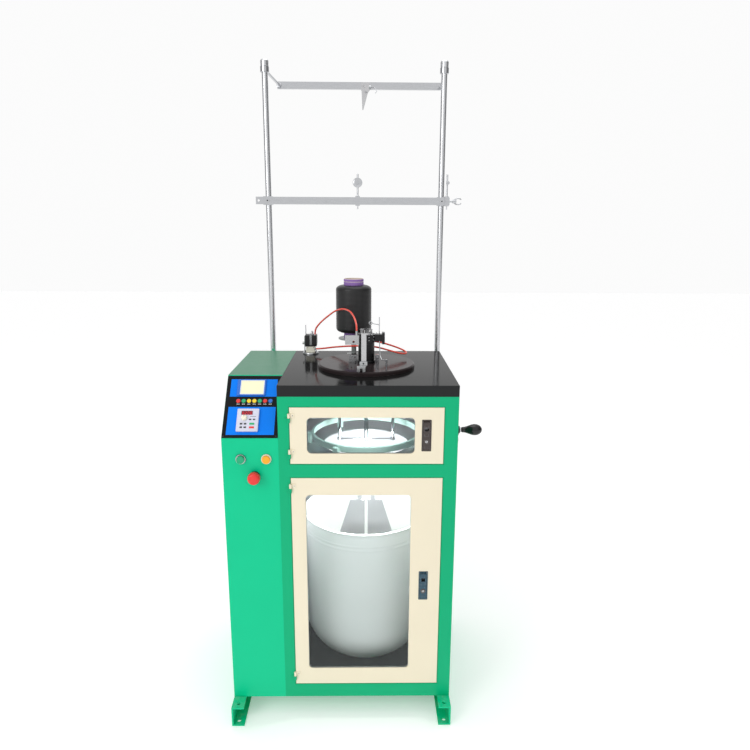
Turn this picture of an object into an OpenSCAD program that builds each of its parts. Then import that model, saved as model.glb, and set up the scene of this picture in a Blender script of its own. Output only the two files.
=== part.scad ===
// Small-diameter circular knitting machine on a steel cabinet.
// Millimetres. Origin on the floor, at the centre of the four anchor holes.
// +X is the operator's right, +Y is the back, +Z is up.

/* [Cabinet] */
// Width of the main cabinet
cab_w = 540; // [500:1:680]
// Depth of the cabinet
cab_d = 545; // [500:1:680]
// Height of the main cabinet, without beams and table
cab_h = 1025; // [980:1:1150]
// Width of the electrical box at the left
box_w = 170; // [150:1:220]
// Sheet thickness of the cabinet
sheet = 3; // [2:0.5:4]
// Thickness of the table slab
slab_t = 34; // [25:1:45]
// Height of the base beams
beam_h = 68; // [50:1:90]
// Width of each base beam
beam_w = 40; // [30:1:60]
// How far the beams reach past the cabinet, front and back
beam_out = 52; // [40:1:80]
// Wall of the base beams
beam_wall = 5; // [3:0.5:8]
// Diameter of the anchor holes
anchor_d = 13; // [9:0.5:18]

/* [Doors] */
// Width of both doors
door_w = 462; // [400:1:480]
// Height of the upper door
upper_door_h = 177; // [150:1:210]
// Height of the lower door
lower_door_h = 720; // [600:1:730]
// Gap around each door
door_gap = 2.5; // [1.5:0.5:4]
// Thickness of the doors
door_t = 2.5; // [1.5:0.5:2.5]
// Diameter of the hinge pins
pin_d = 4; // [3:0.5:6]
// Thickness of the window glass
glass_t = 3; // [2:0.5:4]

/* [Console] */
// Height of the console's lower edge above the floor
console_z = 964; // [940:1:990]
// Slope of the console in degrees
console_a = 49.5; // [45:0.5:55]
// Diameter of the panel keys
key_d = 13; // [10:0.5:14]
// Spacing of the panel keys
key_pitch = 16.4; // [15.5:0.1:18]
// Diameter of the bores of the front buttons
button_d = 22; // [18:0.5:24]

/* [Knitting head] */
// Diameter of the bed disc on the table
disc_d = 322; // [280:1:360]
// Thickness of the bed disc
disc_t = 14; // [10:1:20]
// Diameter of the needle cylinder
cyl_d = 40; // [36:1:42]
// Bore of the needle cylinder
cyl_bore = 20; // [16:1:22]
// Number of needles
needle_n = 24; // [12:1:36]
// Outer diameter of the column round the needle cylinder
column_d = 54; // [52:1:58]
// Diameter of the cam box round the needle cylinder
cam_d = 62; // [60:1:72]
// Radial running clearance of shafts in their bores
run_fit = 0.05; // [0.02:0.01:0.1]

/* [Drive and take-down] */
// Diameter of the guard ring round the take-down frame
ring_d = 372; // [330:1:380]
// Diameter of the hole in the shelf
shelf_hole_d = 290; // [270:1:310]
// Distance between the two take-down rods
rod_span = 182; // [160:1:200]
// Length of the hand crank's arm
crank_r = 122; // [105:1:135]
// Diameter of the crank shaft
crank_d = 16; // [12:1:20]
// Diameter of the fabric barrel
barrel_d = 430; // [360:1:440]
// Height of the fabric barrel with its foot
barrel_h = 545; // [460:1:560]

/* [Creel] */
// Diameter of the two poles
pole_d = 21; // [18:1:25]
// Distance between the poles
pole_span = 624; // [600:1:660]
// Height of the pole tops above the floor
pole_top = 2145; // [2000:5:2300]
// Height of the lower cross bar above the floor
low_bar_z = 1673; // [1560:1:1800]
// Length of the stay rods between the poles and the upper bar
stay_l = 253; // [200:1:280]
// Diameter of the yarn package
package_d = 126; // [100:1:132]
// Diameter of the paper tube
tube_d = 70; // [60:1:74]

/* [Hidden] */
$fn = 64;

// ---- overall places
total_w = box_w + cab_w;
x_left = -total_w / 2;
x_right = total_w / 2;
x_cab = x_left + box_w;
y_front = -cab_d / 2;
y_back = cab_d / 2;
z_cab_top = beam_h + cab_h;
table_z = z_cab_top + slab_t;
shelf_z = beam_h + 788;
shelf_t = 4;
axis_x = x_cab + cab_w / 2 - 6;
seat = 0.3;
seam = 0.2;
eps = 0.01;
anchor_inset = 20;
anchor_y = cab_d / 2 + beam_out - anchor_inset;

// ---- doors
door_x = x_cab + 35;
upper_door_z = beam_h + 815;
lower_door_z = beam_h + 49;
lip = 12;
hinge_r = 4;
hinge_h = 14;
hinge_y = y_front - hinge_r - 0.5;
hinge_x = door_x - door_gap / 2;
upper_win = [51, 33, 324, 112, 14];
lower_win = [44, 58, 323, 606, 12];
lock_x = 396;
upper_lock_z = 41;
lower_lock_z = 308;
lock_w = 28;
lock_h = 98;
lock_pin_r = 2;

// ---- console
console_l = (table_z - console_z) / sin(console_a);
console_t = 3;
key_s = 122;
key_x0 = 41;
key_up = 2.2;
inverter_at = [43, 19];
inverter_size = [66, 74, 9];
display_at = [34, 139];
display_size = [88, 56, 5];
start_at = [x_left + 56, 899];
stop_at = [x_left + 133, 899];
estop_at = [x_left + 97, 845];

// ---- knitting head
disc_z = table_z + disc_t;
disc_bevel = 4;
housing_top = disc_z + 71;
cam_z = housing_top;
cam_h = 24;
cyl_top = cam_z + cam_h + 6;
cyl_bottom = table_z - 60;
bush_wall = 2;
bush_h = 12;
trick_w = 1.4;
trick_deep = 2.4;
needle_w = 1;
trick_l = 30;
needle_up = 9;
cam_arm = 60;

// ---- drive
pulley_z = cyl_bottom;
pulley_h = 16;
pulley_r = 70;
hand_pulley_z = pulley_z - 24;
small_r = 26;
belt_t = 4;
belt_w = 12;
belt_gap = 0.4;
motor_x = x_cab + 80;
motor_y = 170;
motor_d = 92;
motor_h = 130;
motor_plate_t = 8;
crank_y = 100;
crank_z = shelf_z - 22;
knob_y = 0;
knob_dz = sqrt(crank_r * crank_r - (crank_y - knob_y) * (crank_y - knob_y));
knob_z = crank_z + knob_dz;
crank_in = 58;
hand_x = x_right - sheet - crank_in;
gear_r = 16;
gear_n = 14;
arm_x = x_right + 33;
arm_t = 12;
knob_x = arm_x + arm_t;

// ---- take-down and lower compartment
rod_r = 5;
rod_bottom = shelf_z + shelf_t + 8;
ring_z = shelf_z + shelf_t + 24;
ring_h = 20;
ring_t = 8;
tube_r = 7.5;
tube_bore_r = 5.5;
barrel_floor = beam_h + sheet + seat;
barrel_wall = 4;
barrel_round = 150;
barrel_foot_r = 60;
barrel_foot_h = 18;
barrel_y = 8;
barrel_x = axis_x - 2;
chute_y = -152;
chute_gap = 5;
chute_top = shelf_z - 141;
chute_bottom = shelf_z - 296;
chute_strap = 14;

// ---- creel
pole_x = [37 - pole_span / 2, 37 + pole_span / 2];
pole_y = y_back + 30;
pole_r = pole_d / 2;
pole_foot = table_z - 210;
cap_h = 23;
stay_z = pole_top - 33;
stay_r = 5;
stay_drift = 18;
bar_y = pole_y + stay_l;
bar_h = 26;
bar_t = 12;
low_y = pole_y - pole_r - 14;
guide_x = 74;
centre_x = 47;
side_x = 366;
tension_h = 105;

// ---- yarn package
pack_x = 34;
pack_y = 172;
stand_z = table_z + 68;
stand_plate_r = 55;
package_z = stand_z + 20;
package_h = 168;
package_taper = 9;
tube_z = stand_z + seat;
tube_h = 210;
tube_wall = 4;
spigot_r = 24;

// ---- air valve and its two hoses
valve_x = x_cab + 59;
valve_y = y_back - 48;
hose_r = 3;
// The arch leaves the coil and comes down on the fitting of the head bracket.
arch_route = [
  [-108, 212, 1200], [-107.7, 211.7, 1208], [-104, 208, 1222], [-93, 198, 1238], [-76, 184, 1256],
  [-55, 163, 1275], [-33, 138, 1293], [-12, 110, 1304], [8, 82, 1307], [24, 54, 1303],
  [35, 28, 1293], [42, 4, 1281], [46, -16, 1269], [47, -25.5, 1258], [47, -28, 1251]];
// The loop leaves the valve block, passes behind the head and comes back to the head bracket.
loop_route = [
  [-106, 212, 1146], [-99, 212, 1146], [-84, 207, 1148], [-66, 196, 1152], [-44, 178, 1158],
  [-18, 152, 1165], [6, 128, 1171], [32, 106, 1176], [62, 86, 1180], [92, 70, 1182],
  [122, 56, 1180], [150, 47, 1174], [176, 45, 1167], [198, 50, 1161], [213, 63, 1158],
  [217, 80, 1159], [209, 97, 1163], [192, 108, 1169], [168, 112, 1177], [140, 108, 1186],
  [112, 96, 1194], [86, 78, 1199], [62, 58, 1202], [42, 36, 1205], [29, 14, 1209],
  [22, -8, 1213], [21, -20, 1215], [21, -27, 1215]];

// ---- helpers
module tube(r_out, r_in, h) {
  difference() {
    cylinder(r = r_out, h = h);
    translate([0, 0, -1]) cylinder(r = r_in, h = h + 2);
  }
}
module round_rect(w, h, r) {
  translate([r, 0]) square([w - 2 * r, h]);
  translate([0, r]) square([w, h - 2 * r]);
  for (x = [r, w - r], y = [r, h - r]) translate([x, y]) circle(r = r);
}
// Stands a drawing in the XZ plane, from y to y + t.
module upright(y, t) {
  translate([0, y + t, 0]) rotate([90, 0, 0]) linear_extrude(t) children();
}
// A place on the console: x from its left edge, s up the slope, Z out of the panel.
module on_console(x, s) {
  translate([x_left + x, y_front + s * cos(console_a), console_z + s * sin(console_a)])
    rotate([console_a, 0, 0]) children();
}
function unit(v) = v / norm(v);
function tangent(p, i) = unit(p[min(i + 1, len(p) - 1)] - p[max(i - 1, 0)]);
function across(t) = unit(cross(t, abs(t[2]) > 0.98 ? [1, 0, 0] : [0, 0, 1]));
function smooth(p, i, f) =
  let (a = p[max(i - 1, 0)], b = p[i], c = p[i + 1], d = p[min(i + 2, len(p) - 1)])
  0.5 * (2 * b + (c - a) * f + (2 * a - 5 * b + 4 * c - d) * f * f
    + (3 * b - a - 3 * c + d) * f * f * f);
function curve(p, n) =
  [for (i = [0:len(p) - 2], k = [0:n - 1]) smooth(p, i, k / n), p[len(p) - 1]];
module hose(p, r, sides = 8) {
  rings = [for (i = [0:len(p) - 1])
    let (t = tangent(p, i), a = across(t), b = cross(t, a))
    for (k = [0:sides - 1]) p[i] + r * (cos(360 * k / sides) * a + sin(360 * k / sides) * b)];
  last = (len(p) - 1) * sides;
  walls = [for (i = [0:len(p) - 2], k = [0:sides - 1])
    let (j = (k + 1) % sides, a = i * sides)
    [a + k, a + j, a + j + sides, a + k + sides]];
  caps = [[for (k = [sides - 1:-1:0]) k], [for (k = [0:sides - 1]) last + k]];
  polyhedron(points = rings, faces = concat(walls, caps), convexity = 8);
}

// A bent wire: straight runs with round joints.
module wire(p, r) {
  for (i = [0:len(p) - 2]) {
    v = p[i + 1] - p[i];
    translate(p[i]) rotate([0, acos(v[2] / norm(v)), atan2(v[1], v[0])])
      cylinder(r = r, h = norm(v), $fn = 24);
  }
  for (i = [1:len(p) - 1]) translate(p[i]) sphere(r = r * 1.06, $fn = 24);
}

// ---- cabinet
module channel_beam() {
  y0 = -cab_d / 2 - beam_out;
  length = cab_d + 2 * beam_out;
  difference() {
    translate([0, y0, 0]) cube([beam_w, length, beam_h]);
    translate([beam_wall, y0 - 1, beam_wall])
      cube([beam_w, length + 2, beam_h - 2 * beam_wall]);
    for (y = [-anchor_y, anchor_y])
      translate([beam_w / 2, y, -1]) cylinder(d = anchor_d, h = beam_h + 2);
  }
}
module base_beams() color("seagreen") {
  translate([x_left, 0, 0]) channel_beam();
  translate([x_right, 0, 0]) mirror([1, 0, 0]) channel_beam();
}
module door_opening(z, h, grow) {
  translate([door_x - grow, z - grow]) square([door_w + 2 * grow, h + 2 * grow]);
}
module door_rebate(z, h) {
  upright(y_front + sheet, sheet) difference() {
    door_opening(z, h, door_gap + 6);
    door_opening(z, h, -lip);
  }
}
module hinge_pair(z, h) {
  for (zz = [z + 18, z + h - 18 - 2 * hinge_h]) translate([hinge_x, 0, zz]) {
    translate([0, hinge_y, 0]) cylinder(r = hinge_r, h = hinge_h);
    translate([0, hinge_y, hinge_h - eps]) cylinder(d = pin_d, h = hinge_h - 1);
    translate([-14, y_front - 1.6, 0]) cube([14, 1.6, hinge_h]);
  }
}
module cabinet_front() color("seagreen") {
  difference() {
    upright(y_front, sheet) difference() {
      translate([x_cab, beam_h]) square([cab_w, cab_h]);
      door_opening(upper_door_z, upper_door_h, door_gap);
      door_opening(lower_door_z, lower_door_h, door_gap);
    }
  }
  door_rebate(upper_door_z, upper_door_h);
  door_rebate(lower_door_z, lower_door_h);
  hinge_pair(upper_door_z, upper_door_h);
  hinge_pair(lower_door_z, lower_door_h);
}
module cabinet_panels() color("mediumseagreen") {
  side_d = cab_d - 2 * sheet - seam;
  // left partition
  translate([x_cab, y_front + sheet, beam_h]) cube([sheet, side_d, cab_h]);
  // right side with the crank shaft's hole
  difference() {
    translate([x_right - sheet, y_front + sheet, beam_h]) cube([sheet, side_d, cab_h]);
    translate([x_right - sheet - 1, crank_y, crank_z]) rotate([0, 90, 0])
      cylinder(r = crank_d / 2 + 4, h = sheet + 2);
  }
  // back
  translate([x_cab, y_back - sheet, beam_h]) cube([cab_w, sheet, cab_h]);
  // bottom
  translate([x_cab + sheet + seam, y_front + sheet, beam_h])
    cube([cab_w - 2 * sheet - 2 * seam, side_d, sheet]);
}
module shelf_plate() color("lightgray") difference() {
  translate([x_cab + sheet, y_front + 2 * sheet, shelf_z])
    cube([cab_w - 2 * sheet, cab_d - 3 * sheet, shelf_t]);
  translate([axis_x, 0, shelf_z - 1]) cylinder(d = shelf_hole_d, h = shelf_t + 2, $fn = 96);
  translate([hand_x, crank_y, shelf_z - 1]) cylinder(r = crank_d / 2 + 3, h = shelf_t + 2);
}
module table_top() color("#22252a") difference() {
  translate([x_cab, y_front, z_cab_top]) cube([cab_w, cab_d, slab_t]);
  translate([axis_x, 0, z_cab_top - 1]) cylinder(r = cyl_d / 2 + 6, h = slab_t + 2);
}
module box_outline(inset) {
  slope = tan(console_a);
  y0 = y_front + inset;
  y1 = y_back - inset;
  z0 = beam_h + inset;
  z1 = table_z - inset;
  shift = inset / cos(console_a);
  z_lip = console_z - shift + (y0 - y_front) * slope;
  y_top = y_front + (z1 + shift - console_z) / slope;
  polygon([[y0, z0], [y1, z0], [y1, z1], [y_top, z1], [y0, z_lip]]);
}
module box_solid(inset, x0, w) {
  translate([x0, 0, 0]) rotate([90, 0, 90]) linear_extrude(w) box_outline(inset);
}
module electrical_box() color("mediumseagreen") difference() {
  box_solid(0, x_left, box_w);
  box_solid(sheet, x_left + sheet, box_w);
  // window under the console
  on_console(14, 10) translate([0, 0, -30]) cube([box_w - 28, console_l - 24, 40]);
  for (p = [start_at, stop_at, estop_at])
    translate([p[0], y_front - 1, p[1]]) rotate([-90, 0, 0])
      cylinder(d = button_d, h = sheet + 2);
}
module console_panel() color("#0a6fd6") difference() {
  on_console(0, 0) translate([1, 1, 0]) cube([box_w - 2, console_l - 6, console_t]);
  for (i = [0:6])
    on_console(key_x0 + i * key_pitch, key_s) translate([0, 0, -1])
      cylinder(r = key_d / 2 + 0.15, h = console_t + 2);
}
module display_unit() color("#202226") {
  on_console(display_at[0], display_at[1]) translate([0, 0, console_t]) difference() {
    cube(display_size);
    translate([5, 5, display_size[2] - 1.2])
      cube([display_size[0] - 10, display_size[1] - 10, 2]);
  }
}
key_colours = ["crimson", "green", "gold", "gold", "green", "crimson", "royalblue"];
module panel_key(i) color(key_colours[i - 1]) {
  on_console(key_x0 + (i - 1) * key_pitch, key_s) {
    translate([0, 0, -seat - 1]) cylinder(d = key_d + 2, h = 1);
    translate([0, 0, -seat - eps]) cylinder(d = key_d, h = console_t + seat + key_up);
  }
}
module inverter() color("#d5d8da") difference() {
  on_console(inverter_at[0], inverter_at[1]) translate([0, 0, console_t])
    cube(inverter_size);
  on_console(inverter_at[0] + 13, inverter_at[1] + 53)
    translate([0, 0, console_t + inverter_size[2] - 1.5]) cube([34, 13, 3]);
  on_console(66, 61) translate([0, 0, console_t + 3])
    cylinder(r = 3 + run_fit, h = 20);
}
module inverter_knob() color("#8d9398") on_console(66, 61) {
  translate([0, 0, console_t + 3 + seat]) cylinder(r = 3, h = 8);
  translate([0, 0, console_t + inverter_size[2] + seat]) difference() {
    cylinder(r = 8, h = 9);
    translate([-0.8, 2, 8]) cube([1.6, 7, 2]);
  }
}
module front_at(p) {
  translate([p[0], y_front, p[1]]) rotate([90, 0, 0]) children();
}
module button_collars() color("gainsboro") {
  for (p = [start_at, stop_at]) front_at(p) difference() {
    union() {
      cylinder(r = 15.5, h = 5);
      translate([0, 0, -sheet - 24]) cylinder(r = button_d / 2 - 0.2, h = sheet + 25);
    }
    translate([0, 0, -30]) cylinder(r = 8.5, h = 40);
    translate([0, 0, 1]) cylinder(r = 12.5, h = 5);
  }
  front_at(estop_at) difference() {
    union() {
      cylinder(r = 15, h = 8);
      translate([0, 0, -sheet - 24]) cylinder(r = button_d / 2 - 0.2, h = sheet + 25);
    }
    translate([0, 0, -30]) cylinder(r = 8.5, h = 40);
  }
}
module push_button() {
  cylinder(r = 12, h = 6);
  translate([0, 0, -18]) cylinder(r = 8.5 - run_fit, h = 18.5);
}
module start_button() color("#1fa34a") front_at(start_at) translate([0, 0, 6]) push_button();
module stop_button() color("#e8b020") front_at(stop_at) translate([0, 0, 6]) push_button();
module emergency_button() color("#d02020") front_at(estop_at) {
  translate([0, 0, 13]) rotate_extrude()
    polygon([[0, 0], [11, 0], [12, 8], [19, 10], [19, 15], [16, 20], [9, 22.5], [0, 23]]);
  translate([0, 0, -10]) cylinder(r = 8.5 - run_fit, h = 23.5);
}

// ---- doors
module door(z, h, win, lock_z) {
  difference() {
    union() {
      upright(y_front, door_t) difference() {
        translate([door_x, z]) square([door_w, h]);
        translate([door_x + win[0], z + win[1]]) round_rect(win[2], win[3], win[4]);
      }
      // hinge knuckles above the frame's own
      for (zz = [z + 18, z + h - 18 - 2 * hinge_h]) translate([hinge_x, 0, zz + hinge_h + 0.4]) {
        translate([0, hinge_y, 0]) cylinder(r = hinge_r, h = hinge_h);
        translate([0, y_front - 1.6, 0]) cube([16, 1.6 + eps, hinge_h]);
      }
    }
    for (zz = [z + 18, z + h - 18 - 2 * hinge_h])
      translate([hinge_x, hinge_y, zz + hinge_h]) cylinder(r = pin_d / 2 + run_fit, h = hinge_h + 2);
    // recess under the lock
    translate([door_x + lock_x + 2, y_front - 1, z + lock_z + 2])
      cube([lock_w - 4, door_t + 2, lock_h - 4]);
  }
  // lock case behind the recess, open at the front
  difference() {
    translate([door_x + lock_x - 2, y_front + door_t - eps, z + lock_z - 2])
      cube([lock_w + 4, 15, lock_h + 4]);
    translate([door_x + lock_x + 1, y_front, z + lock_z + 1])
      cube([lock_w - 2, door_t + 13, lock_h - 2]);
  }
  // pivot of the lock lever
  translate([door_x + lock_x, y_front + door_t + 4, z + lock_z + lock_h - 9]) rotate([0, 90, 0])
    cylinder(r = lock_pin_r, h = lock_w);
}
module window_glass(z, win) {
  color("lightcyan") upright(y_front + door_t + seat, glass_t)
    translate([door_x + win[0] - 8, z + win[1] - 8])
      round_rect(win[2] + 16, win[3] + 16, win[4]);
}
module lock_lever(z) {
  x0 = door_x + lock_x;
  color("#241a16") difference() {
    union() {
      translate([x0 + 3, y_front - 1.5, z + 3]) cube([lock_w - 6, 4, lock_h - 12]);
      translate([x0 + 4, y_front + 2, z + lock_h - 16]) cube([lock_w - 8, 4, 8]);
      translate([x0 + 4, y_front + door_t + 4, z + lock_h - 9]) rotate([0, 90, 0])
        cylinder(r = 4.5, h = lock_w - 8);
      // key cylinder
      translate([x0 + lock_w / 2, y_front + 10, z + 30]) rotate([90, 0, 0]) cylinder(r = 9, h = 13);
    }
    translate([x0, y_front + door_t + 4, z + lock_h - 9]) rotate([0, 90, 0])
      cylinder(r = lock_pin_r + run_fit, h = lock_w);
  }
}
module upper_door() color("#e8dbc0") door(upper_door_z, upper_door_h, upper_win, upper_lock_z);
module lower_door() color("#e8dbc0") door(lower_door_z, lower_door_h, lower_win, lower_lock_z);
module upper_window() window_glass(upper_door_z, upper_win);
module lower_window() window_glass(lower_door_z, lower_win);
module upper_lock() lock_lever(upper_door_z + upper_lock_z);
module lower_lock() lock_lever(lower_door_z + lower_lock_z);

// ---- creel
module creel_poles() color("silver") for (x = pole_x) {
  translate([x, pole_y, pole_foot]) cylinder(r = pole_r, h = pole_top - cap_h - pole_foot);
  translate([x, pole_y, pole_top - cap_h - eps]) rotate_extrude()
    polygon([[0, 0], [14, 0], [14.5, cap_h - 5], [12, cap_h - 1], [0, cap_h]]);
  // split clamps that hold the pole on the back of the cabinet
  for (z = [pole_foot + 30, table_z - 50]) translate([x, pole_y, z]) difference() {
    union() {
      cylinder(r = pole_r + 7, h = 24);
      translate([-pole_r - 7, y_back - pole_y, 0])
        cube([2 * pole_r + 14, pole_y - y_back, 24]);
    }
    translate([0, 0, -1]) cylinder(r = pole_r - eps, h = 26);
  }
}
module upper_bar() color("silver") {
  x0 = pole_x[0] + stay_drift;
  x1 = pole_x[1] + stay_drift;
  difference() {
    translate([x0 - 8, bar_y - bar_t / 2, stay_z - bar_h / 2])
      cube([x1 - x0 + 16, bar_t, bar_h]);
    for (x = [x0, x1]) translate([x, bar_y - bar_t, stay_z]) rotate([-90, 0, 0])
      cylinder(r = stay_r - eps, h = 2 * bar_t);
  }
  for (x = pole_x) {
    turn = -atan2(stay_drift, stay_l);
    reach = norm([stay_drift, stay_l]);
    // stay rod with its nuts and the eye round the pole
    translate([x, pole_y, stay_z]) rotate([-90, 0, turn]) {
      translate([0, 0, pole_r + 2]) cylinder(r = stay_r, h = reach - pole_r + 14);
      translate([0, 0, reach - bar_t / 2 - 7]) cylinder(r = 9, h = 6);
      translate([0, 0, reach + bar_t / 2 + 1]) cylinder(r = 9, h = 6);
    }
    translate([x, pole_y, stay_z - 9]) tube(pole_r + 5, pole_r + run_fit, 18);
  }
}
module top_guide() color("#c8c9cc") {
  // plate on the bar with its screw
  translate([guide_x - 17, bar_y - bar_t / 2 - 3, stay_z - 18]) cube([34, 3, 30]);
  translate([guide_x - 11, bar_y - bar_t / 2 - 3, stay_z]) rotate([90, 0, 0]) {
    cylinder(r = 5, h = 4);
    cylinder(r = 2.5, h = 7);
  }
  // body with the pivot of the feeler
  difference() {
    translate([guide_x - 2, bar_y - bar_t / 2 - 17, stay_z - 24]) cube([16, 14, 32]);
    translate([guide_x - 4, bar_y - bar_t / 2 - 11, stay_z - 6]) rotate([0, 90, 0])
      cylinder(r = 2 + run_fit, h = 26);
  }
  // tongue that points down to the yarn
  upright(bar_y - bar_t / 2 - 3 + eps, 1.6)
    polygon([[guide_x - 15, stay_z - 17], [guide_x + 12, stay_z - 17],
      [guide_x - 8, stay_z - 88], [guide_x - 12, stay_z - 88]]);
}
module feeler_arm() color("silver") {
  y = bar_y - bar_t / 2 - 11;
  translate([guide_x - 3, y, stay_z - 6]) rotate([0, 90, 0]) cylinder(r = 2, h = 24);
  translate([guide_x + 14 + seat, y, stay_z - 6]) rotate([0, 90, 0]) cylinder(r = 5, h = 6);
  wire([[guide_x + 18, y, stay_z - 8], [guide_x + 34, y - 26, stay_z - 14],
    [guide_x + 43, y - 48, stay_z - 30], [guide_x + 38, y - 54, stay_z - 38]], 1.5);
}
module lower_bar() color("silver") {
  bar_x0 = pole_x[0] - 42;
  bar_x1 = pole_x[1] + 28;
  difference() {
    translate([bar_x0, low_y - 3, low_bar_z - 13]) cube([bar_x1 - bar_x0, 6, 26]);
    for (x = [bar_x0 + 10, bar_x1 - 9]) translate([x, low_y - 4, low_bar_z]) rotate([-90, 0, 0])
      cylinder(r = 4, h = 8);
  }
  for (x = pole_x) translate([x, 0, low_bar_z - 15]) {
    difference() {
      union() {
        translate([0, pole_y, 0]) cylinder(r = pole_r + 6, h = 30);
        translate([-pole_r - 6, low_y + 3, 0]) cube([2 * pole_r + 12, pole_y - low_y - 3, 30]);
      }
      translate([0, pole_y, -1]) cylinder(r = pole_r + run_fit, h = 32);
    }
    translate([0, low_y - 3, 15]) rotate([90, 0, 0]) cylinder(r = 7, h = 5);
  }
  // stems of the two yarn tension units
  for (x = [centre_x, side_x]) {
    translate([x - 8, low_y - 9, low_bar_z - 17]) cube([16, 6, 34]);
    translate([x, low_y - 9, low_bar_z]) rotate([90, 0, 0]) cylinder(r = 5, h = 5);
    translate([x, low_y - 6, low_bar_z + 17 - eps])
      cylinder(r = 3, h = tension_h - 30);
    translate([x, low_y - 5.9, low_bar_z + 62]) rotate([90, 0, 0]) {
      cylinder(r = 2.5, h = 28);
      translate([0, 0, 20]) cylinder(r = 6, h = 6);
    }
    translate([x, low_y - 6, low_bar_z - 17 - 12]) cylinder(r = 2, h = 12 + eps);
  }
}
module wing_screw() color("silver") translate([pole_x[1] + 28, low_y, low_bar_z]) {
  rotate([0, 90, 0]) {
    translate([0, 0, seat]) cylinder(r = 4, h = 12);
    translate([0, 0, 10]) cylinder(r = 7, h = 14);
  }
  translate([14, -2, -13]) cube([30, 4, 26]);
}
module tension_disc() color("silver") for (dy = [0, 3.4])
  translate([centre_x, low_y - 14 - dy, low_bar_z + 62]) rotate([90, 0, 0]) difference() {
    cylinder(r = 17, h = 2.6);
    translate([0, 0, -1]) cylinder(r = 2.5 + run_fit, h = 5);
  }

// ---- yarn
module yarn_stand() color("#3c4048") translate([pack_x, pack_y, table_z]) {
  translate([-25, -10, 0]) cube([50, 46, 6]);
  cylinder(r = 9, h = stand_z - table_z);
  translate([0, 0, stand_z - table_z - 4]) cylinder(r = stand_plate_r, h = 4);
  translate([0, 0, stand_z - table_z - eps]) cylinder(r1 = spigot_r + 4, r2 = spigot_r - 4, h = 90);
}
module yarn_tube() color("#7c559c") translate([pack_x, pack_y, tube_z])
  tube(tube_d / 2, tube_d / 2 - tube_wall, tube_h);
module yarn_package() color("#1c1d20") translate([pack_x, pack_y, package_z]) difference() {
  rotate_extrude($fn = 96) polygon([[10, 0], [package_d / 2 - package_taper, 0],
    [package_d / 2, package_taper], [package_d / 2, package_h - package_taper],
    [package_d / 2 - package_taper, package_h], [10, package_h]]);
  translate([0, 0, -1]) cylinder(r = tube_d / 2 + seat, h = package_h + 2);
}

// ---- knitting head
module bed_disc() color("#1a1b1e") translate([axis_x, 0, table_z]) difference() {
  rotate_extrude($fn = 128) polygon([[0, 0], [disc_d / 2, 0], [disc_d / 2, disc_t - disc_bevel],
    [disc_d / 2 - disc_bevel, disc_t], [0, disc_t]]);
  translate([0, 0, -1]) cylinder(r = cyl_d / 2 + 6, h = disc_t + 2);
}
module cylinder_housing() color("#2a2c30") translate([axis_x, 0, disc_z]) {
  h = housing_top - disc_z;
  tube(column_d / 2, cyl_d / 2 + bush_wall, h);
  // bronze bushes of the needle cylinder
  for (z = [0, h - bush_h]) translate([0, 0, z])
    tube(cyl_d / 2 + bush_wall, cyl_d / 2 + run_fit, bush_h);
}
module needle_cylinder() color("gainsboro") translate([axis_x, 0, 0]) {
  difference() {
    translate([0, 0, cyl_bottom]) cylinder(d = cyl_d, h = cyl_top - cyl_bottom);
    translate([0, 0, cyl_bottom - 1]) cylinder(d = cyl_bore, h = cyl_top - cyl_bottom + 2);
    for (i = [0:needle_n - 1]) rotate(360 * i / needle_n)
      translate([cyl_d / 2 - trick_deep, -trick_w / 2, cyl_top - trick_l])
        cube([trick_deep + 1, trick_w, trick_l + 1]);
  }
  // needles with their hooks
  for (i = [0:needle_n - 1]) rotate(360 * i / needle_n) {
    translate([cyl_d / 2 - trick_deep + 0.1, -needle_w / 2, cyl_top - trick_l + 0.2])
      cube([1.8, needle_w, trick_l + needle_up]);
    translate([cyl_d / 2 - trick_deep + 0.1, -needle_w / 2, cyl_top + needle_up - 0.5])
      cube([3.2, needle_w, 1.6]);
  }
}
module cam_box() color("#303338") translate([axis_x, 0, cam_z]) {
  difference() {
    union() {
      cylinder(d = cam_d, h = cam_h);
      translate([cam_d / 2 - 18, -12, 0]) cube([cam_arm - cam_d / 2 + 18, 24, cam_h]);
    }
    translate([0, 0, -1]) cylinder(r = cyl_d / 2 + 1.5, h = cam_h + 2);
  }
  // bolted end block
  translate([cam_arm - 8, -16, -8]) cube([9, 28, cam_h + 14]);
  for (z = [1, cam_h - 3]) translate([cam_arm - 3.5, -16 + eps, z]) rotate([90, 0, 0])
    cylinder(r = 3, h = 3);
}
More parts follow.
